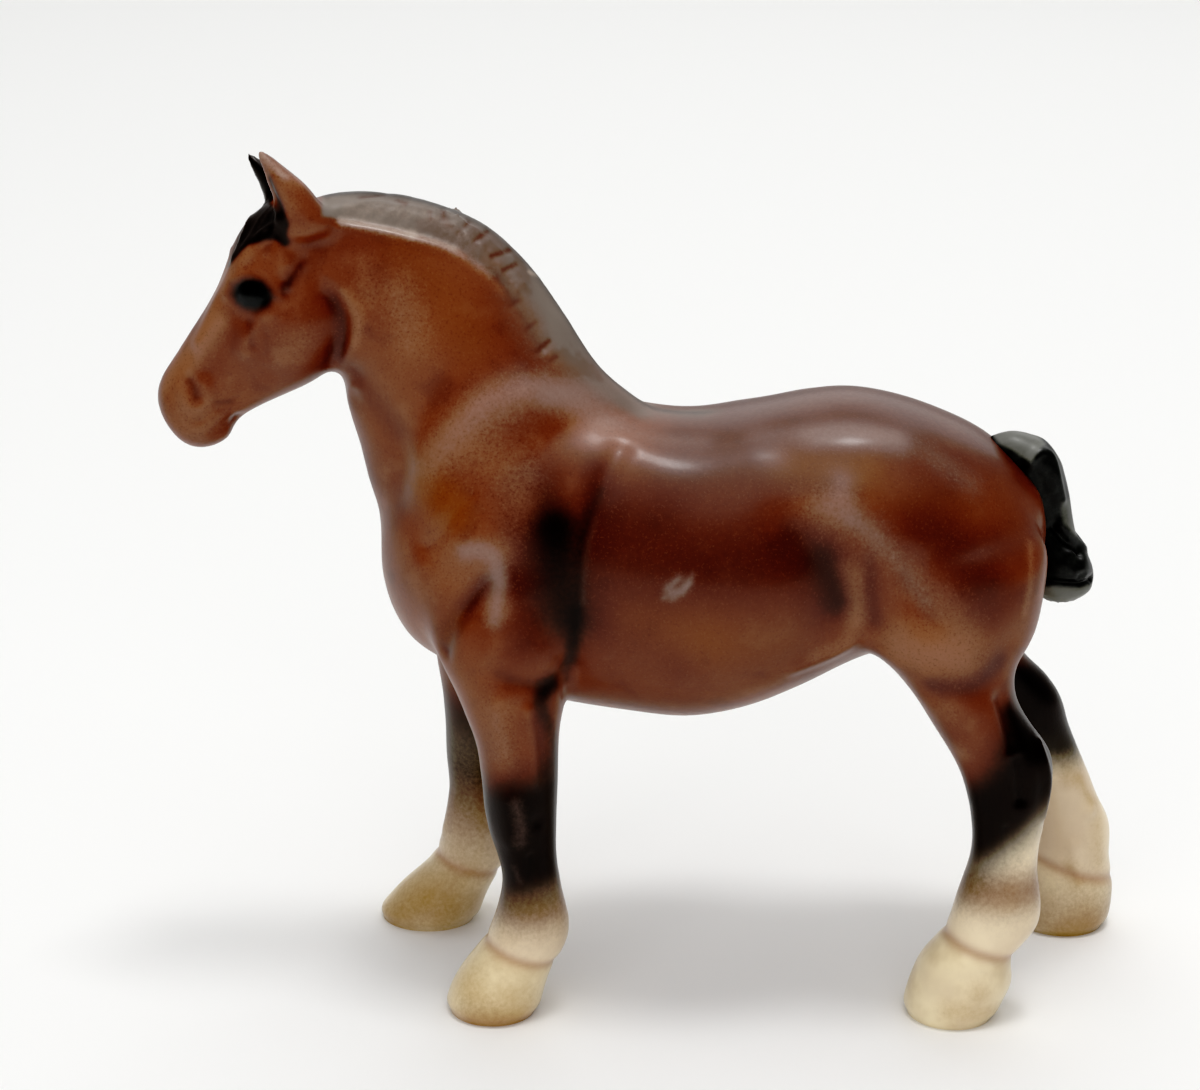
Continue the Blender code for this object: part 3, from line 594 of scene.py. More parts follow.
neckMarks = {
    "maneEdge": (0.42, -0.28, 339, 217, 365, 221, 390, 226, 414, 232, 439, 239, 459, 248, 480, 263, 496,
        275, 506, 287, 526, 318, 544, 350),
    "underMane": (0.6, 0.24, 341, 225, 365, 229, 390, 234, 414, 240, 439, 247, 459, 256, 478, 271, 493,
        283, 502, 293), "jugular": (1.8, -0.35, 362, 376, 388, 430, 404, 470),
    "throat": (1.2, -0.3, 352, 376, 340, 384), "neckMuscle": (3.8, 0.3, 395, 300, 440, 352),
    "breast": (2.4, 0.35, 428, 470, 450, 508), "breastGroove": (0.9, -0.3, 470, 500, 446, 530, 428, 548),
}
shoulderMarks = {
    "blade": (4.0, 0.8, 520, 418, 492, 452, 482, 505),
    "bladeEdge": (2.0, 0.42, 416, 486, 434, 457, 460, 430, 492, 408, 522, 398),
    "bladeFront": (2.8, -0.45, 392, 470, 408, 434, 436, 398, 468, 368),
    "bladeBack": (2.2, 0.08, 560, 398, 596, 424, 618, 446),
    "armLine": (1.1, -0.3, 620, 452, 603, 484, 589, 522, 582, 554, 579, 590, 576, 626, 573, 660, 568, 690),
    "armBack": (2.8, -0.15, 582, 490, 566, 530, 562, 590, 562, 650), "chest": (3.0, 0.5, 438, 592),
    "point": (2.2, 0.45, 472, 550), "armGroove": (1.0, -0.55, 488, 582, 468, 604, 452, 624, 443, 650),
    "armFront": (1.3, 0.4, 497, 588, 495, 630, 492, 664), "triceps": (2.1, 0.45, 524, 600, 540, 650),
    "tricepsUnder": (1.0, -0.35, 492, 672, 517, 682, 548, 681, 566, 670), "elbow": (1.2, -0.2, 546, 692),
}
barrelMarks = {
    "saddle": (2.6, 0.28, 640, 457, 672, 470, 703, 466, 745, 453), "barrel": (5.5, 0.5, 650, 580, 730, 590),
    "flank": (2.8, -0.75, 796, 536, 818, 560, 830, 586, 836, 612),
    "flankFold": (1.8, 0.26, 796, 512, 820, 530, 842, 556, 856, 588, 860, 622, 846, 644),
    "bellyFold": (1.0, 0.25, 850, 640, 826, 656, 796, 668), "hip": (2.4, 0.5, 836, 503),
    "croup": (2.2, 0.3, 816, 440, 900, 446),
    "quarterRidge": (2.2, 0.3, 856, 508, 886, 526, 914, 545, 940, 574, 956, 606),
    "redGroove": (1.1, -0.28, 872, 566, 872, 596, 875, 622), "redRidge": (1.0, 0.14, 890, 572, 894, 620),
    "oliveGroove": (1.5, -0.32, 904, 574, 918, 596, 931, 618), "stifle": (3.2, 0.5, 930, 655),
    "haunch": (4.2, 0.4, 985, 560), "backOfThigh": (1.7, -0.35, 1008, 640, 990, 682, 940, 692),
    "rumpEdge": (2.6, 0.4, 1036, 496, 1041, 533, 1034, 579, 1022, 616),
    "rumpFurrow": (1.4, 0.12, 1016, 580, 1004, 630),
}
legMarks = {
    "forearm": (1.0, 0.28, 498, 706, 506, 752), "forearmTendon": (0.6, 0.3, 527, 712, 532, 752, 533, 782),
    "knee": (1.4, 0.35, 512, 806, 513, 838), "kneeBack": (0.7, -0.25, 537, 822),
    "foreTendon": (0.45, -0.38, 531, 858, 527, 890, 525, 912), "foreFetlock": (1.0, 0.35, 535, 920),
    "forePastern": (0.9, -0.2, 510, 934), "gaskin": (1.8, 0.4, 952, 708, 968, 738),
    "gaskinGroove": (0.65, -0.45, 1000, 700, 1007, 725, 1012, 747),
    "hockString": (0.55, 0.35, 1038, 742, 1048, 778, 1042, 816),
    "hockHollow": (0.65, -0.4, 1017, 762, 1021, 800), "hindTendon": (0.42, -0.3, 1007, 830, 1011, 884),
    "hindFetlock": (1.0, 0.35, 1006, 914), "hindPastern": (0.9, -0.15, 985, 934),
}
farMarks = {
    "hockBone": (0.7, 0.35, 1089, 812), "cannonBone": (0.6, 0.25, 1074, 846, 1079, 884),
    "farKnee": (1.1, 0.25, 452, 800, 446, 826),
}
maneCuts = {
    "below": [(346, 216), (390, 224), (439, 236), (480, 260), (508, 288), (530, 322)],
    "above": [(352, 204), (392, 205), (440, 215), (478, 237), (506, 266), (528, 304)],
    "count": 26, "lean": 0.35, "width": 0.24, "height": -0.13, "chip": -0.14, "seed": 5,
}
lower, upper = (curveThrough(maneCuts[key], 12) for key in ("below", "above"))
chance = np.random.default_rng(maneCuts["seed"])
for i in range(maneCuts["count"]):
    at = (i + chance.uniform(0, 0.8)) / maneCuts["count"] * (len(lower) - 8)
    low = lower[int(at)]
    high = upper[int(at) + round(maneCuts["lean"] * 10)]
    parts = (chance.uniform(0.02, 0.3), 0.5, chance.uniform(0.6, 0.85))
    spots = np.concatenate([low + (high - low) * part for part in parts])
    neckMarks["cut%d" % i] = (maneCuts["width"], maneCuts["height"], *spots)
rustSpray = [
    (0.35, 0.6, 361, 197, 390, 194), (0.35, 0.6, 398, 200, 406, 203), (0.3, 0.6, 430, 212, 431, 218),
    (0.3, 0.7, 443, 210, 444, 219), (0.3, 0.6, 447, 224, 452, 227), (0.3, 0.7, 469, 222, 465, 226),
    (0.3, 0.6, 460, 230, 457, 233), (0.32, 0.8, 488, 231, 475, 241), (0.32, 0.8, 510, 250, 492, 256),
    (0.32, 0.7, 516, 264, 504, 270), (0.3, 0.8, 549, 341, 537, 352), (0.3, 0.6, 556, 357, 550, 361),
    (0.3, 0.5, 486, 205, 492, 212), (0.3, 0.5, 520, 300, 510, 306), (0.3, 0.5, 536, 322, 526, 330),
]
for i, (width, strength, *spots) in enumerate(rustSpray):
    neckMarks["chip%d" % i] = (width, maneCuts["chip"] * strength, *spots)
for marks in (headMarks, neckMarks, shoulderMarks, barrelMarks, legMarks, farMarks):
    body.carve(marks)
print("sculpted")
body.soften(1)

# hooves: a crease at the coronet, lowest at the heel, and a bevelled sole
hooves = {
    "reach": 9.5,
    "crownFront": {
        "nearFore": (-16.4, 7.3), "farFore": (-20.9, 7.0), "nearHind": (24.6, 8.2), "farHind": (35.4, 7.6),
    },
    "fall": 0.30, "creaseWidth": 0.55, "crease": -0.16, "bevel": 0.45, "sole": 1.3,
}
crown = np.full(len(body.at), -9.0)
for key, (frontX, frontZ) in hooves["crownFront"].items():
    near = (np.abs(body.rest[:, 0] - frontX - 3) < hooves["reach"]) & (body.rest[:, 1] * legSides[key] > 1)
    near &= body.rest[:, 2] < 12
    crown[near] = body.rest[near, 2] - frontZ + hooves["fall"] * (body.rest[near, 0] - frontX)
onFoot = crown > -8.9
creased = np.where(onFoot, np.exp(-(crown / hooves["creaseWidth"]) ** 2), 0)
body.push(hooves["crease"] * creased)
hoof = np.where(onFoot, 1 - ease(crown, -0.25, 0.25), 0)
for key, side in legSides.items():
    _, frontX, backX, half, out = legs[key][-2]
    centre = np.array(((frontX + backX) / 2, side * out))
    sole = np.hypot(*(body.at[:, :2] - centre).T) < hooves["reach"]
    sole = sole * (1 - ease(body.at[:, 2], 0, hooves["sole"]))
    body.at[:, :2] -= (body.at[:, :2] - centre) * (hooves["bevel"] / half * sole ** 2)[:, None]
print("hooves: points on the walls:", int((hoof > 0.5).sum()))

# paint, sprayed in soft spots and bands: width, strength and places on the photograph
maneArea = [
    (322, 216), (339, 218), (365, 222), (390, 227), (414, 233), (439, 240), (459, 249), (480, 264),
    (496, 276), (506, 288), (526, 320), (545, 352), (556, 362), (600, 350), (590, 290), (540, 230),
    (480, 170), (380, 130), (322, 130),
]
forelockArea = [
    (262, 190), (247, 214), (237, 237), (231, 256), (227, 268), (232, 267), (240, 258), (251, 247),
    (266, 241), (276, 240), (286, 244), (288, 222), (271, 203),
]
eyeArea = [
    (231, 295), (234, 284), (243, 278), (253, 277), (264, 280), (272, 289), (275, 298), (269, 307),
    (256, 312), (243, 310), (234, 304),
]
# the mane layer's grey is dark mane paint lightened by a painted sheen; these strokes carry it down the
# crest and on over the withers
maneSpray = [
    (1.7, 0.85, 446, 214, 478, 228, 506, 250, 530, 280, 550, 312, 570, 344),
    (1.5, 0.65, 564, 336, 584, 366, 608, 392, 640, 412), (2.4, 0.35, 516, 300, 544, 344, 580, 384),
]
crestLine = [(-12, 0, 66), (-8.9, 0, 61.7), (-5.7, 0, 57), (-1.2, 0, 53.6), (3, 0, 53)]
fade = 1 - ease(inPicture(body.rest)[:, 0], 430, 540)  # the mane's grey thins out down the neck
body.spray("mane", body.patch(maneArea, 0.8) * fade)
body.airbrush("mane", maneSpray)
body.spray("mane", 0.6 * body.stroke(crestLine, 2.0))
body.spray("black", 0.97 * body.patch(forelockArea, 0.8))
body.spray("eye", body.patch(eyeArea, 1.1))
# black spray: the ear, nostril, mouth and eye markings, the shoulder band and the black of the forearm and
# gaskin, and painted shade in the creases: along the arm line, under the elbow and triceps, in the flank
# hollow and in the jaw crease
blackSpray = [
    (0.6, 0.9, 277, 229, 285, 241), (0.5, 0.35, 189, 382, 194, 389, 196, 398),
    (0.4, 0.25, 339, 306, 345, 326, 342, 348), (0.4, 0.4, 232, 403, 216, 402),
    (1.9, 0.66, 557, 530, 560, 562, 564, 598, 567, 620), (1.9, 0.28, 556, 470, 558, 520),
    (1.8, 0.22, 536, 496, 538, 560, 544, 610), (2.4, 0.36, 561, 534, 567, 600, 571, 640),
    (0.7, 0.4, 600, 490, 582, 540, 577, 600, 571, 664), (1.2, 0.8, 546, 693, 554, 686),
    (0.8, 0.35, 500, 674, 522, 684, 552, 682), (0.6, 0.45, 575, 612, 573, 646, 569, 682),
    (1.8, 0.5, 822, 560, 832, 582, 840, 604), (0.6, 0.4, 284, 290, 292, 278), (2.0, 0.35, 252, 296),
    (0.5, 0.8, 268, 180, 277, 200, 285, 224), (1.0, 0.6, 540, 705, 552, 730, 556, 760),
    (1.0, 0.6, 1012, 712, 1030, 740),
]
# deep mahogany spray: darker airbrushed paint on the shoulder, barrel, flank and rump, and painted shade
# along the carved grooves and hollows: the arm groove, the jugular, the flank hollow, the fold under the
# stifle, the small grooves of the quarter, the cheek and jaw grooves and behind the eye
deepSpray = [
    (2.3, 0.75, 522, 486, 524, 540, 520, 580), (0.5, 0.45, 250, 322, 253, 345),
    (0.5, 0.35, 266, 330, 268, 352), (0.5, 0.3, 236, 330, 232, 352),
    (0.7, 0.6, 284, 292, 292, 278, 300, 268), (1.4, 0.15, 316, 300, 324, 340, 318, 366),
    (5.8, 0.78, 650, 530, 650, 562, 710, 565, 790, 560), (1.8, 0.7, 606, 500, 598, 560, 594, 620),
    (4.2, 0.4, 620, 650, 700, 670, 790, 650), (2.4, 0.95, 810, 545, 828, 575, 838, 605),
    (4.2, 0.75, 930, 520, 965, 560, 985, 600), (1.3, 0.85, 935, 685, 970, 686, 1000, 664),
    (1.1, 0.8, 484, 586, 455, 622, 443, 648), (2.6, 0.7, 534, 490, 538, 540, 532, 600, 528, 640),
    (2.0, 0.5, 352, 376, 392, 430), (1.8, 0.7, 595, 470, 600, 510), (0.8, 0.35, 870, 574, 872, 618),
    (1.0, 0.4, 908, 584, 930, 615), (0.9, 0.8, 334, 302, 341, 326, 338, 354),
    (2.0, 0.35, 500, 300, 540, 380), (0.8, 0.4, 870, 566, 876, 626), (1.4, 0.7, 540, 720, 545, 770),
]
warmSpray = [
    (2.4, 0.8, 420, 470, 455, 512), (2.6, 0.5, 790, 462, 860, 470), (3.4, 0.3, 720, 650, 780, 640),
    (3.0, 0.4, 400, 250, 440, 290, 470, 340), (2.4, 0.3, 880, 492, 925, 498, 965, 512),
    (1.4, 0.5, 446, 640, 456, 620), (2.4, 0.25, 1000, 480, 1015, 530), (3.0, 0.3, 640, 620, 700, 630),
]
# pale spray: mostly painted highlights and sheen, along the shoulder blade, point of shoulder and upper arm,
# the front of the face, the jaw's edge, the ears, the neck, the hip, the flank fold and the rump's edge;
# lighter paint on the muzzle, cheek, stifle, gaskin and forearm
paleSpray = [
    (2.0, 0.5, 436, 452, 464, 420, 500, 400, 552, 394, 600, 424), (2.2, 0.5, 180, 400, 200, 420),
    (1.1, 0.5, 246, 252, 228, 280, 206, 322, 180, 370), (1.3, 0.85, 228, 270, 206, 306, 184, 342, 164, 384),
    (1.9, 0.4, 805, 505, 838, 505), (2.2, 0.32, 830, 520, 870, 545, 915, 580, 950, 610),
    (2.8, 0.75, 905, 645, 960, 650), (2.0, 0.4, 500, 712, 506, 764), (0.9, 0.3, 858, 575, 858, 620),
    (1.8, 0.4, 945, 712), (1.3, 0.55, 960, 752), (1.1, 0.4, 815, 655, 845, 640, 856, 610, 846, 570),
    (0.6, 0.2, 253, 334, 245, 350), (2.4, 0.35, 300, 340), (0.5, 0.7, 258, 152, 272, 166, 300, 183),
    (1.3, 0.35, 280, 180, 292, 202), (0.6, 0.5, 346, 292, 359, 316, 356, 342), (1.6, 0.5, 500, 552),
    (1.4, 0.5, 500, 608), (2.6, 0.35, 440, 545, 452, 575), (3.2, 0.5, 470, 450, 510, 470, 520, 500),
    (1.2, 0.4, 362, 262, 366, 300), (2.4, 0.5, 398, 290, 412, 340),
    (0.5, 0.5, 1027, 545, 1026, 580, 1021, 612), (0.8, 0.5, 1036, 490, 1042, 520, 1043, 560, 1037, 592),
]
ochreSpray = [
    (3.6, 0.55, 466, 985, 482, 1008, 520, 1010), (4.4, 0.7, 386, 928, 410, 900, 440, 906),
    (3.2, 0.8, 1086, 930, 1070, 940), (1.6, 0.4, 1000, 1018, 950, 1012), (1.5, 0.45, 1060, 748, 1070, 776),
    (2.0, 0.25, 470, 820, 470, 870), (1.2, 0.35, 1096, 800, 1100, 860), (2.6, 0.12, 1080, 850, 1080, 890),
    (0.7, 0.4, 1080, 780, 1090, 800), (0.8, 0.35, 1068, 866, 1078, 882), (1.0, 0.5, 518, 1020, 470, 1022),
]
tanSpray = [
    (3.4, 0.4, 380, 932, 410, 918, 450, 912), (1.6, 0.3, 466, 1010, 500, 1020),
]
# painted highlights: the pale line along the lower edge of the mane, a painted sheen over the mane, and a
# highlight down the near ear's back edge
paintedHighlightSpray = [
    (0.5, 0.62, 341, 221, 365, 225, 390, 230, 412, 235), (0.5, 0.5, 412, 235, 439, 243, 452, 248),
    (0.5, 0.35, 456, 250, 476, 263, 490, 274), (0.3, 0.9, 530, 272, 537, 275),
    (0.9, 0.3, 350, 208, 420, 214, 470, 238), (0.45, 0.45, 259, 152, 268, 162, 285, 176),
]
# painted sheen and highlights over the withers, back, croup, shoulder blade, upper arm, hip, flank fold, the
# barrel's front edge and the knee, and thin scuffs on the barrel
sheenAndScuffSpray = [
    (1.3, 0.25, 548, 398, 580, 390, 606, 394), (1.7, 0.3, 540, 384, 590, 404, 640, 434, 700, 442),
    (1.9, 0.28, 760, 436, 840, 434, 920, 452, 970, 484),
    (1.8, 0.3, 430, 462, 464, 424, 500, 404, 552, 398, 600, 424), (3.4, 0.14, 500, 440, 520, 466),
    (0.9, 0.4, 466, 550, 480, 548, 494, 556, 500, 576), (0.9, 0.36, 498, 586, 495, 622),
    (2.0, 0.2, 480, 556, 492, 600), (0.36, 0.3, 664, 597, 676, 590), (0.36, 0.34, 667, 588, 680, 577),
    (0.36, 0.28, 674, 598, 690, 582), (0.36, 0.25, 684, 590, 693, 574), (1.8, 0.18, 678, 585),
    (1.5, 0.3, 810, 438, 850, 432, 892, 438), (1.3, 0.3, 818, 508, 842, 510),
    (1.2, 0.25, 856, 522, 882, 546, 906, 572, 924, 600), (0.5, 0.18, 596, 520, 586, 560, 583, 604),
    (0.8, 0.25, 516, 802, 521, 826, 520, 842), (0.5, 0.2, 514, 868, 520, 882),
    (0.8, 0.2, 498, 716, 506, 750), (2.2, 0.18, 400, 300, 410, 330), (1.8, 0.2, 840, 500, 880, 524),
]
normals = body.normals()
upper = ease(body.rest[:, 2], 38, 46) * ease(normals[:, 2], 0.25, 0.8) * ease(body.rest[:, 0], -4, 2)
crest = body.paint["mane"] * np.exp(-(body.rest[:, 1] / 0.9) ** 2)
farEar = ease(body.rest[:, 1], 1.0, 1.8) * ease(body.rest[:, 2], 69.6, 70.6)
farEar = farEar * (1 - ease(body.rest[:, 0], -31.2, -30.4))
body.spray("black", np.maximum(0.75 * crest, farEar))
body.spray("deep", 0.6 * body.around(upper)[:, 0])
for name, marks in {
    "black": blackSpray, "deep": deepSpray, "warm": warmSpray, "pale": paleSpray, "rust": rustSpray,
    "dust": paintedHighlightSpray, "sheen": sheenAndScuffSpray,
}.items():
    body.airbrush(name, marks)
body.airbrush("ochre", ochreSpray, both=False)
body.airbrush("tan", tanSpray, both=False)
# a painted highlight down the far foreleg
body.airbrush("sheen", [(0.5, 0.3, 455, 790, 450, 830)], both=False)

# legs: heights where black starts, is full, fades and ends; where the brown thins to bare plastic;
# a tan band's height, spread and strength; how far the bands lean, and how black the inside is
legPaint = {
    "nearFore": ((26.6, 20.0, 15.4, 6.8), (14.6, 10.4), (11.0, 3.2, 0.75), 0.25, 0.6),
    "farFore": ((28.5, 20.5, 17.0, 7.0), (25.0, 14.0), (13.0, 7.0, 0.75), 0, 0.75),
    "nearHind": ((29.6, 23.0, 21.0, 11.2), (20.5, 15.5), (12.8, 2.6, 0.75), 1.0, 0.6),
    "farHind": ((30.5, 25.5, 19.8, 14.6), (22.5, 17.0), (2.0, 5.0, 0.5), 0, 1.0),
}
bare = np.zeros(len(body.at))
for key, (blackBand, bareBand, tanBand, lean, inside) in legPaint.items():
    rows = np.array(legs[key])[::-1]
    middle = np.interp(body.rest[:, 2], rows[:, 0], (rows[:, 1] + rows[:, 2]) / 2)
    near = (np.abs(body.rest[:, 0] - middle) < 7.5) & (body.rest[:, 1] * legSides[key] > 0.5)
    z = body.rest[:, 2] - lean * (body.rest[:, 0] - middle)
    top, full, fade, end = blackBand
    outside = ease(normals[:, 1] * legSides[key], -0.5, 0.3)
    dark = (1 - ease(z, full, top)) * ease(z, end, fade) * (inside + (1 - inside) * outside)
    body.spray("black", np.where(near, dark, 0))
    start, done = bareBand
    bare = np.maximum(bare, np.where(near, 1 - ease(z, done, start), 0))
    middle, spread, strength = tanBand
    body.spray("tan", np.where(near, strength * np.exp(-((body.rest[:, 2] - middle) / spread) ** 2), 0))
body.spray("bare", bare)
body.spray("hoof", hoof)
body.spray("crease", 0.8 * creased)
# painted shade along the near fore hoof's lower edge, where it meets the floor
nearForeSole = np.exp(-(body.rest[:, 2] / 0.9) ** 2) * (body.rest[:, 0] < 0) * (body.rest[:, 1] < 0)
body.spray("crease", 0.8 * nearForeSole)
# how far each point stands out from its neighbours, smoothed: the coat takes a painted highlight on ridges
# and painted shade in grooves
around = body.at - body.around(body.at)
reliefAndWear = (around * normals).sum(1) / clay["step"]
for _ in range(3):
    reliefAndWear = body.around(reliefAndWear)[:, 0]
body.paint["ridge"] = ease(reliefAndWear, 0.01, 0.06)
body.paint["groove"] = ease(-reliefAndWear, 0.01, 0.06)
body.store()
print("painted:", sorted(body.paint))


def cutHalf(clayMesh, name, side):
    # one half of the moulding, closed flat along the seam and under the feet
    shape = bmesh.new()
    shape.from_mesh(clayMesh)
    seam = side * clay["seamGap"] / 2 * mm
    for spot, way in (((0, 0, 0), (0, 0, -1)), ((0, seam, 0), (0, -side, 0))):
        everything = shape.verts[:] + shape.edges[:] + shape.faces[:]
        cut = {"plane_co": spot, "plane_no": way, "clear_outer": True, "dist": 1e-7}
        bmesh.ops.bisect_plane(shape, geom=everything, **cut)
        rim = [edge for edge in shape.edges if edge.is_boundary]
        for edge in rim:
            edge.smooth = False
        bmesh.ops.holes_fill(shape, edges=rim, sides=0)
    mesh = bpy.data.meshes.new(name)
    shape.to_mesh(mesh)
    shape.free()
    mesh.shade_smooth()
    return mesh


for name, side, node in (("leftHalf", -1, "left_body_half"), ("rightHalf", 1, "right_body_half")):
    half = addObject(name, cutHalf(body.mesh, name, side))
    half.data.materials.append(coatPaint)
    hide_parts(node)
    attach(half, "root")
    print(name, len(half.data.polygons), "faces")

# the tail: a bound dock with strands wound down it
tail = {
    "stations": [
        (28.4, 50.9, 29.0, 47.6, 1.2, 2.0), (30.2, 51.4, 30.2, 47.2, 1.8, 2.2),
        (32.0, 51.1, 30.9, 46.6, 2.2, 2.3), (33.4, 50.5, 31.3, 46.0, 2.4, 2.4),
        (34.6, 49.0, 31.5, 45.2, 2.4, 2.3), (35.2, 47.4, 31.6, 44.2, 2.35, 2.1),
        (35.7, 45.6, 31.8, 43.2, 2.3, 2.0), (36.1, 43.6, 32.0, 41.8, 2.4, 2.0),
        (36.6, 41.8, 32.0, 40.4, 2.6, 2.0), (37.6, 40.3, 32.0, 39.2, 2.9, 2.2),
        (38.2, 38.8, 32.1, 38.0, 3.1, 2.3), (38.1, 37.4, 32.8, 36.9, 3.0, 2.3),
        (37.2, 36.5, 34.0, 36.2, 2.0, 2.0),
    ],
    "strands": 15, "twist": 0.16, "sink": 0.94, "radius": 0.34, "taper": 0.3, "steps": 60, "seed": 3,
}


def tailLine(turn):
    # a line down the tail's side, starting at a turn round it
    points = []
    rows = curveThrough(tail["stations"], clay["ringsPerStation"])
    for i, (ux, uz, lx, lz, half, power) in enumerate(rows):
        angle = math.tau * (turn + tail["twist"] * i / len(rows))
        up, out = tail["sink"] * math.cos(angle), tail["sink"] * math.sin(angle)
        points.append(((ux + lx) / 2 + (ux - lx) / 2 * up, half * out, (uz + lz) / 2 + (uz - lz) / 2 * up))
    return points


lines = [tailLine(i / tail["strands"]) for i in range(tail["strands"])]
sizes = {
    "Radius": tail["radius"] * mm, "Taper": tail["taper"], "Steps": tail["steps"], "Seed": tail["seed"],
    "Paint": tailPaint,
}
hair = grow("tailStrands", lines, sizes, strandTree)
tailClay = Clay(fuse("tailSkin", [loft(tail["stations"]), hair], clay["tailStep"]))
tailClay.soften(3)
tailClay.settle()
tailMarks = {
    "corner": (0.5, 0.3, 1030, 462, 1042, 452, 1052, 458, 1058, 480, 1062, 500),
    "furrow": (0.9, -0.3, 1038, 478, 1046, 500, 1054, 524),
    "fold": (0.4, -0.45, 1054, 530, 1064, 540, 1078, 554),
    "foldEdge": (0.5, 0.3, 1062, 526, 1074, 538, 1086, 550), "bun": (1.2, 0.3, 1068, 562, 1080, 566),
    "ledge": (0.4, -0.5, 1046, 582, 1066, 584, 1084, 583, 1096, 577), "tip": (0.5, 0.35, 1094, 574),
}
tailClay.carve(tailMarks)
# painted grey sheen and highlights on the tail's top, outer rim, one facet and underside
paintedHighlightAreas = {  # softness of the edge, strength and outline on the photograph
    "top": (0.5, 0.7, 980, 420, 1034, 430, 1046, 444, 1040, 450, 1031, 463, 1014, 452, 1000, 444),
    "facet": (0.6, 0.5, 1060, 502, 1076, 494, 1078, 518, 1084, 534, 1072, 538, 1062, 524),
    "rim": (0.4, 0.45, 1052, 446, 1064, 452, 1078, 492, 1071, 494, 1062, 470),
    "underside": (0.4, 0.8, 1030, 586, 1060, 587, 1080, 588, 1094, 584, 1090, 596, 1070, 606, 1030, 602),
}
for soft, strength, *outline in paintedHighlightAreas.values():
    tailClay.spray("dust", strength * tailClay.patch(pairs(outline), soft))
tailClay.store()
tailClay.mesh.shade_smooth()
boundTail = addObject("boundTail", tailClay.mesh)
boundTail.data.materials.clear()
boundTail.data.materials.append(tailPaint)
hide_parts("tail")
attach(boundTail, "root")
print("tail:", len(boundTail.data.polygons), "faces")


def paintLayers(material):
    # a material's shader and a wire to start from
    material.use_nodes = True
    return material.node_tree.nodes["Principled BSDF"], Wire(material.node_tree)


def lead(shader, wires):
    # join wires to the shader's sockets by name
    for name, wire in wires.items():
        wire.tree.links.new(wire.socket, shader.inputs[name])


# the coat: ivory plastic under brown and black spray, with painted highlights, sheen and shade, and a soft
# gloss
coat = {
    "ivory": (0.88, 0.74, 0.52, 1), "hoof": (0.92, 0.79, 0.53, 1), "crease": (0.33, 0.13, 0.05, 1),
    "tan": (0.25, 0.130, 0.062, 1), "ochre": (0.46, 0.285, 0.088, 1),
    "bay": (0.140, 0.041, 0.017, 1), "bayLight": (0.195, 0.065, 0.029, 1),
    "deep": (0.058, 0.015, 0.008, 1), "warm": (0.205, 0.066, 0.012, 1), "pale": (0.30, 0.135, 0.080, 1),
    "black": (0.004, 0.0025, 0.0015, 1), "mane": (0.225, 0.188, 0.158, 1), "rust": (0.10, 0.040, 0.024, 1),
    "dust": (0.42, 0.33, 0.27, 1), "eye": (0.004, 0.005, 0.005, 1), "sheen": (0.30, 0.21, 0.18, 1),
    "roughness": 0.44, "maneRoughness": 0.5, "eyeRoughness": 0.3, "blackRoughness": 0.34, "bareGloss": 0.1,
    "specular": 0.42, "gloss": 0.30, "glossRoughness": 0.22,
    "cloudSize": 90, "smudgeSize": 260, "grainSize": 2600, "speckSize": 5200, "bump": 0.22,
}
shader, start = paintLayers(coatPaint)
place = start.node("ShaderNodeTexCoord", None, None, 3)


def noise(scale, detail=2.0, rough=0.5):
    return start.node("ShaderNodeTexNoise", None,
                      {"Vector": place, "Scale": float(scale), "Detail": detail, "Roughness": rough})


def mask(name, grain=0.0):
    # one of the painted layers, its edge broken up by the spray's grain
    layer = start.node("ShaderNodeAttribute", {"attribute_name": name}, None, 2)
    if grain:
        layer = (layer + (grains - 0.5) * grain).eased(0.04, 0.96)
    return layer


def coats(base, *layers):
    # colours laid one over another, each where its layer is
    for layer, name in layers:
        base = layer.mixed(base, coat[name])
    return base


clouds = noise(coat["cloudSize"], 4.0)
smudges = noise(coat["smudgeSize"], 3.0)
grains = noise(coat["grainSize"], 3.0, 0.7)
specks = noise(coat["speckSize"], 1.0)
# the bay coat: clouds, smudges and specks of lighter and darker paint, the sprayed layers, a painted
# highlight on ridges and painted shade in grooves
bay = coats(
    clouds.eased(0.35, 0.68).mixed(coat["bay"], coat["bayLight"]), (smudges.eased(0.55, 0.75) * 0.3, "pale"),
    (smudges.eased(0.45, 0.28) * 0.35, "deep"), (mask("deep", 0.35) * 0.9, "deep"),
    (mask("warm", 0.2) * 0.85, "warm"), (mask("pale", 0.5) * 0.8, "pale"), (mask("ridge") * 0.22, "pale"),
    (mask("groove") * 0.4, "deep"), (specks.eased(0.58, 0.72) * 0.12, "pale"),
    (specks.eased(0.42, 0.28) * 0.3, "deep"),
)
plastic = coats(
    coat["ivory"], (mask("hoof"), "hoof"), (clouds.eased(0.45, 0.75) * 0.35, "pale"),
    (mask("hoof") * smudges.eased(0.48, 0.72) * 0.3, "ochre"), (mask("ochre", 0.3), "ochre"),
    (mask("tan", 0.3), "tan"), (mask("crease") * 0.7, "crease"),
)
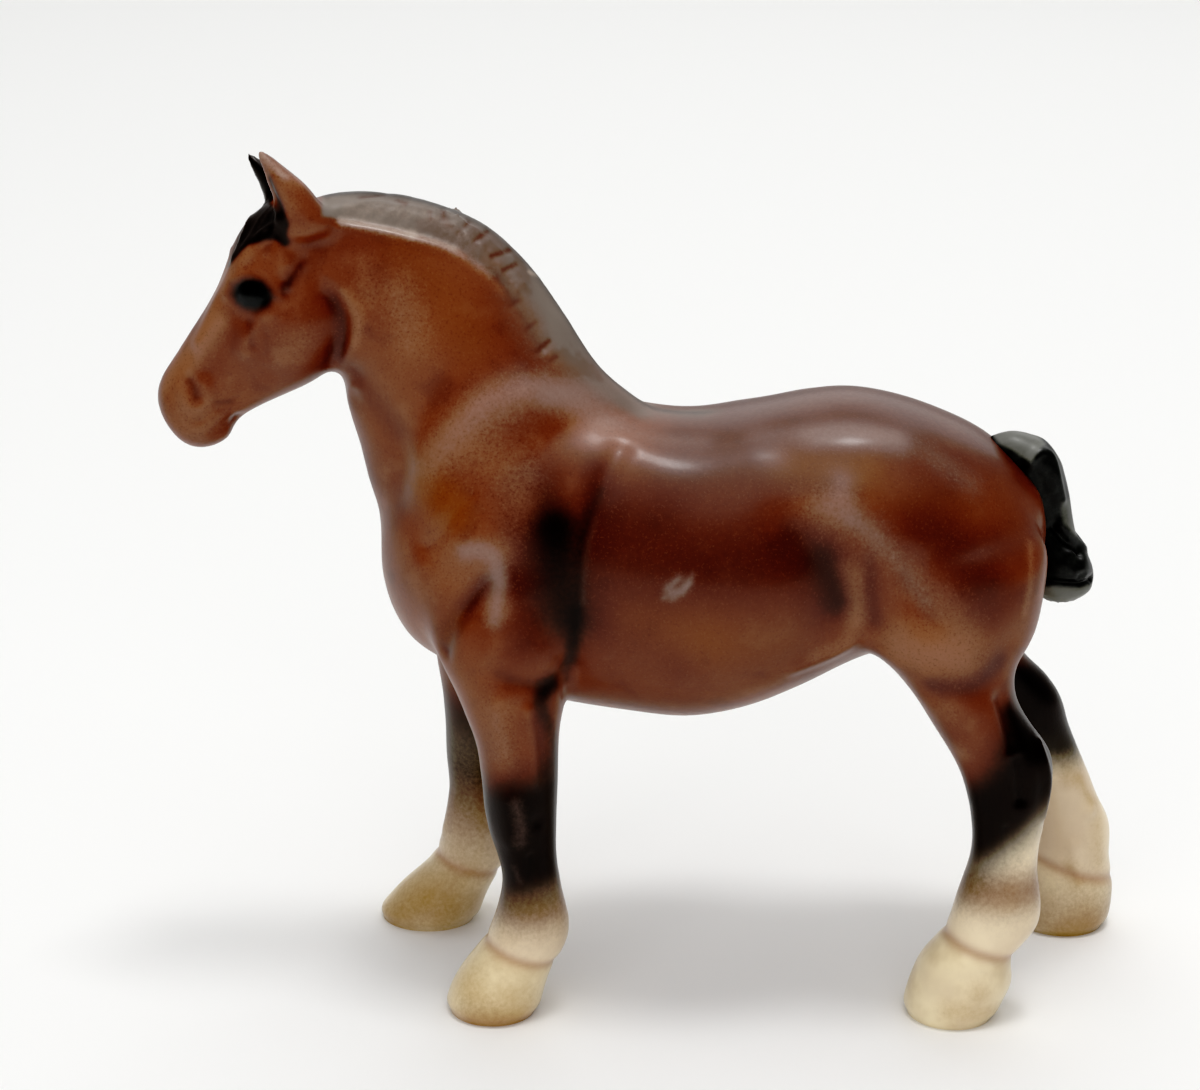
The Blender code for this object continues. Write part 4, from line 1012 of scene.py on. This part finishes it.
# the mane's hair colour: a grey brown standing for dark paint with painted sheen, clouded darker and smudged
# with rust
hair = coats(
    coat["mane"], (clouds.eased(0.35, 0.65) * 0.3, "deep"), (smudges.eased(0.5, 0.62) * 0.35, "rust"),
)
colour = coats(
    mask("mane", 0.2).mixed(mask("bare", 0.2).mixed(bay, plastic), hair), (mask("rust", 0.5), "rust"),
    (mask("dust", 0.5), "dust"), (mask("black", 0.2) * 0.96, "black"), (mask("sheen", 0.25), "sheen"),
    (mask("eye"), "eye"),
)
gloss = coat["roughness"] + (grains - 0.5) * 0.16
gloss = gloss + mask("mane") * (coat["maneRoughness"] - coat["roughness"])
gloss = gloss - mask("bare") * coat["bareGloss"]
gloss = gloss + mask("black") * (coat["blackRoughness"] - gloss)
gloss = gloss + mask("eye") * (coat["eyeRoughness"] - gloss)
height = grains * 0.6 + clouds * 0.4
relief = {"Strength": coat["bump"], "Distance": 0.1 * mm, "Height": height}
relief = start.node("ShaderNodeBump", None, relief)
shine = coat["gloss"] * (1 - (mask("mane") + mask("black")).clamped())
lead(shader, {"Base Color": colour, "Roughness": gloss, "Normal": relief, "Coat Weight": shine})
shader.inputs["Specular IOR Level"].default_value = coat["specular"]
shader.inputs["Coat Roughness"].default_value = coat["glossRoughness"]

# the tail: black paint, greyed with painted sheen where it faces up
dark = {
    "paint": (0.010, 0.010, 0.009, 1), "reliefAndWear": (0.022, 0.023, 0.021, 1), "dust": (0.19, 0.19, 0.165, 1),
    "roughness": 0.40, "bump": 0.12, "grainSize": 1300,
}
shader, start = paintLayers(tailPaint)
place = start.node("ShaderNodeTexCoord", None, None, 3)
grains = noise(dark["grainSize"], 3.0, 0.7)
# worn grains in the black paint, lighter at random
colour = grains.eased(0.4, 0.7).mixed(dark["paint"], dark["reliefAndWear"])
colour = (mask("dust", 0.3) * 0.8).mixed(colour, dark["dust"])
relief = {"Strength": dark["bump"], "Distance": 0.1 * mm, "Height": grains}
relief = start.node("ShaderNodeBump", None, relief)
gloss = dark["roughness"] + (grains - 0.5) * 0.2
lead(shader, {"Base Color": colour, "Roughness": gloss, "Normal": relief})

# plain pale floor under a wide soft box, with little light from the camera's side
studio = {
    "floorSize": 1.4, "floor": (0.90, 0.90, 0.89, 1), "seen": (0.95, 0.95, 0.94, 1),
    "front": 0.08, "back": 0.36, "black": 0.010, "toe": ((0.038, 0.009), (0.11, 0.088)),
    "lamps": {  # place, width and depth in metres, and power
        "softBox": ((0.0, -0.15, 1.50), (2.0, 2.4), 16.2), "key": ((0.10, -0.06, 1.10), (0.26, 0.20), 3.4),
        "fill": ((-0.16, -0.95, 0.42), (1.1, 0.8), 3.9), "backBox": ((0.15, 0.80, 0.50), (1.1, 0.5), 1.9),
    },
    "lampAim": (0, 0, 0.04),
}
size = studio["floorSize"]
floorMesh = bpy.data.meshes.new("floor")
corners = [(-size, -size, 0), (size, -size, 0), (size, size, 0), (-size, size, 0)]
floorMesh.from_pydata(corners, [], [(0, 1, 2, 3)])
floor = addObject("floor", floorMesh)
floorPaint = bpy.data.materials.new("paleFloor")
shader, start = paintLayers(floorPaint)
shader.inputs["Base Color"].default_value = studio["floor"]
shader.inputs["Roughness"].default_value = 0.6
floor.data.materials.append(floorPaint)
world = bpy.data.worlds.new("room")
world.use_nodes = True
start = Wire(world.node_tree)
way = start.node("ShaderNodeTexCoord", None, None, 0)
deepness = start.node("ShaderNodeSeparateXYZ", None, {0: way}, 1)
light = deepness.eased(-0.6, 0.6) * (studio["back"] - studio["front"]) + studio["front"]
seen = start.node("ShaderNodeLightPath", None, None, 0)
strength = seen + (1 - seen) * light
background = world.node_tree.nodes["Background"]
background.inputs["Color"].default_value = studio["seen"]
world.node_tree.links.new(strength.socket, background.inputs["Strength"])
bpy.context.scene.world = world
for name, (spot, (wide, deep), power) in studio["lamps"].items():
    lamp = addObject(name, bpy.data.lights.new(name, "AREA"))
    lamp.data.shape = "RECTANGLE"
    lamp.data.size = wide
    lamp.data.size_y = deep
    lamp.data.energy = power
    lamp.location = spot
    lamp.rotation_euler = (lamp.location - Vector(studio["lampAim"])).to_track_quat("Z", "Y").to_euler()
    lamp.visible_glossy = name != "fill"
film = bpy.context.scene.view_settings
film.view_transform = "Standard"
film.use_curve_mapping = True
film.curve_mapping.black_level = (studio["black"],) * 3
for spot in studio["toe"]:
    film.curve_mapping.curves[3].points.new(*spot)
film.curve_mapping.update()
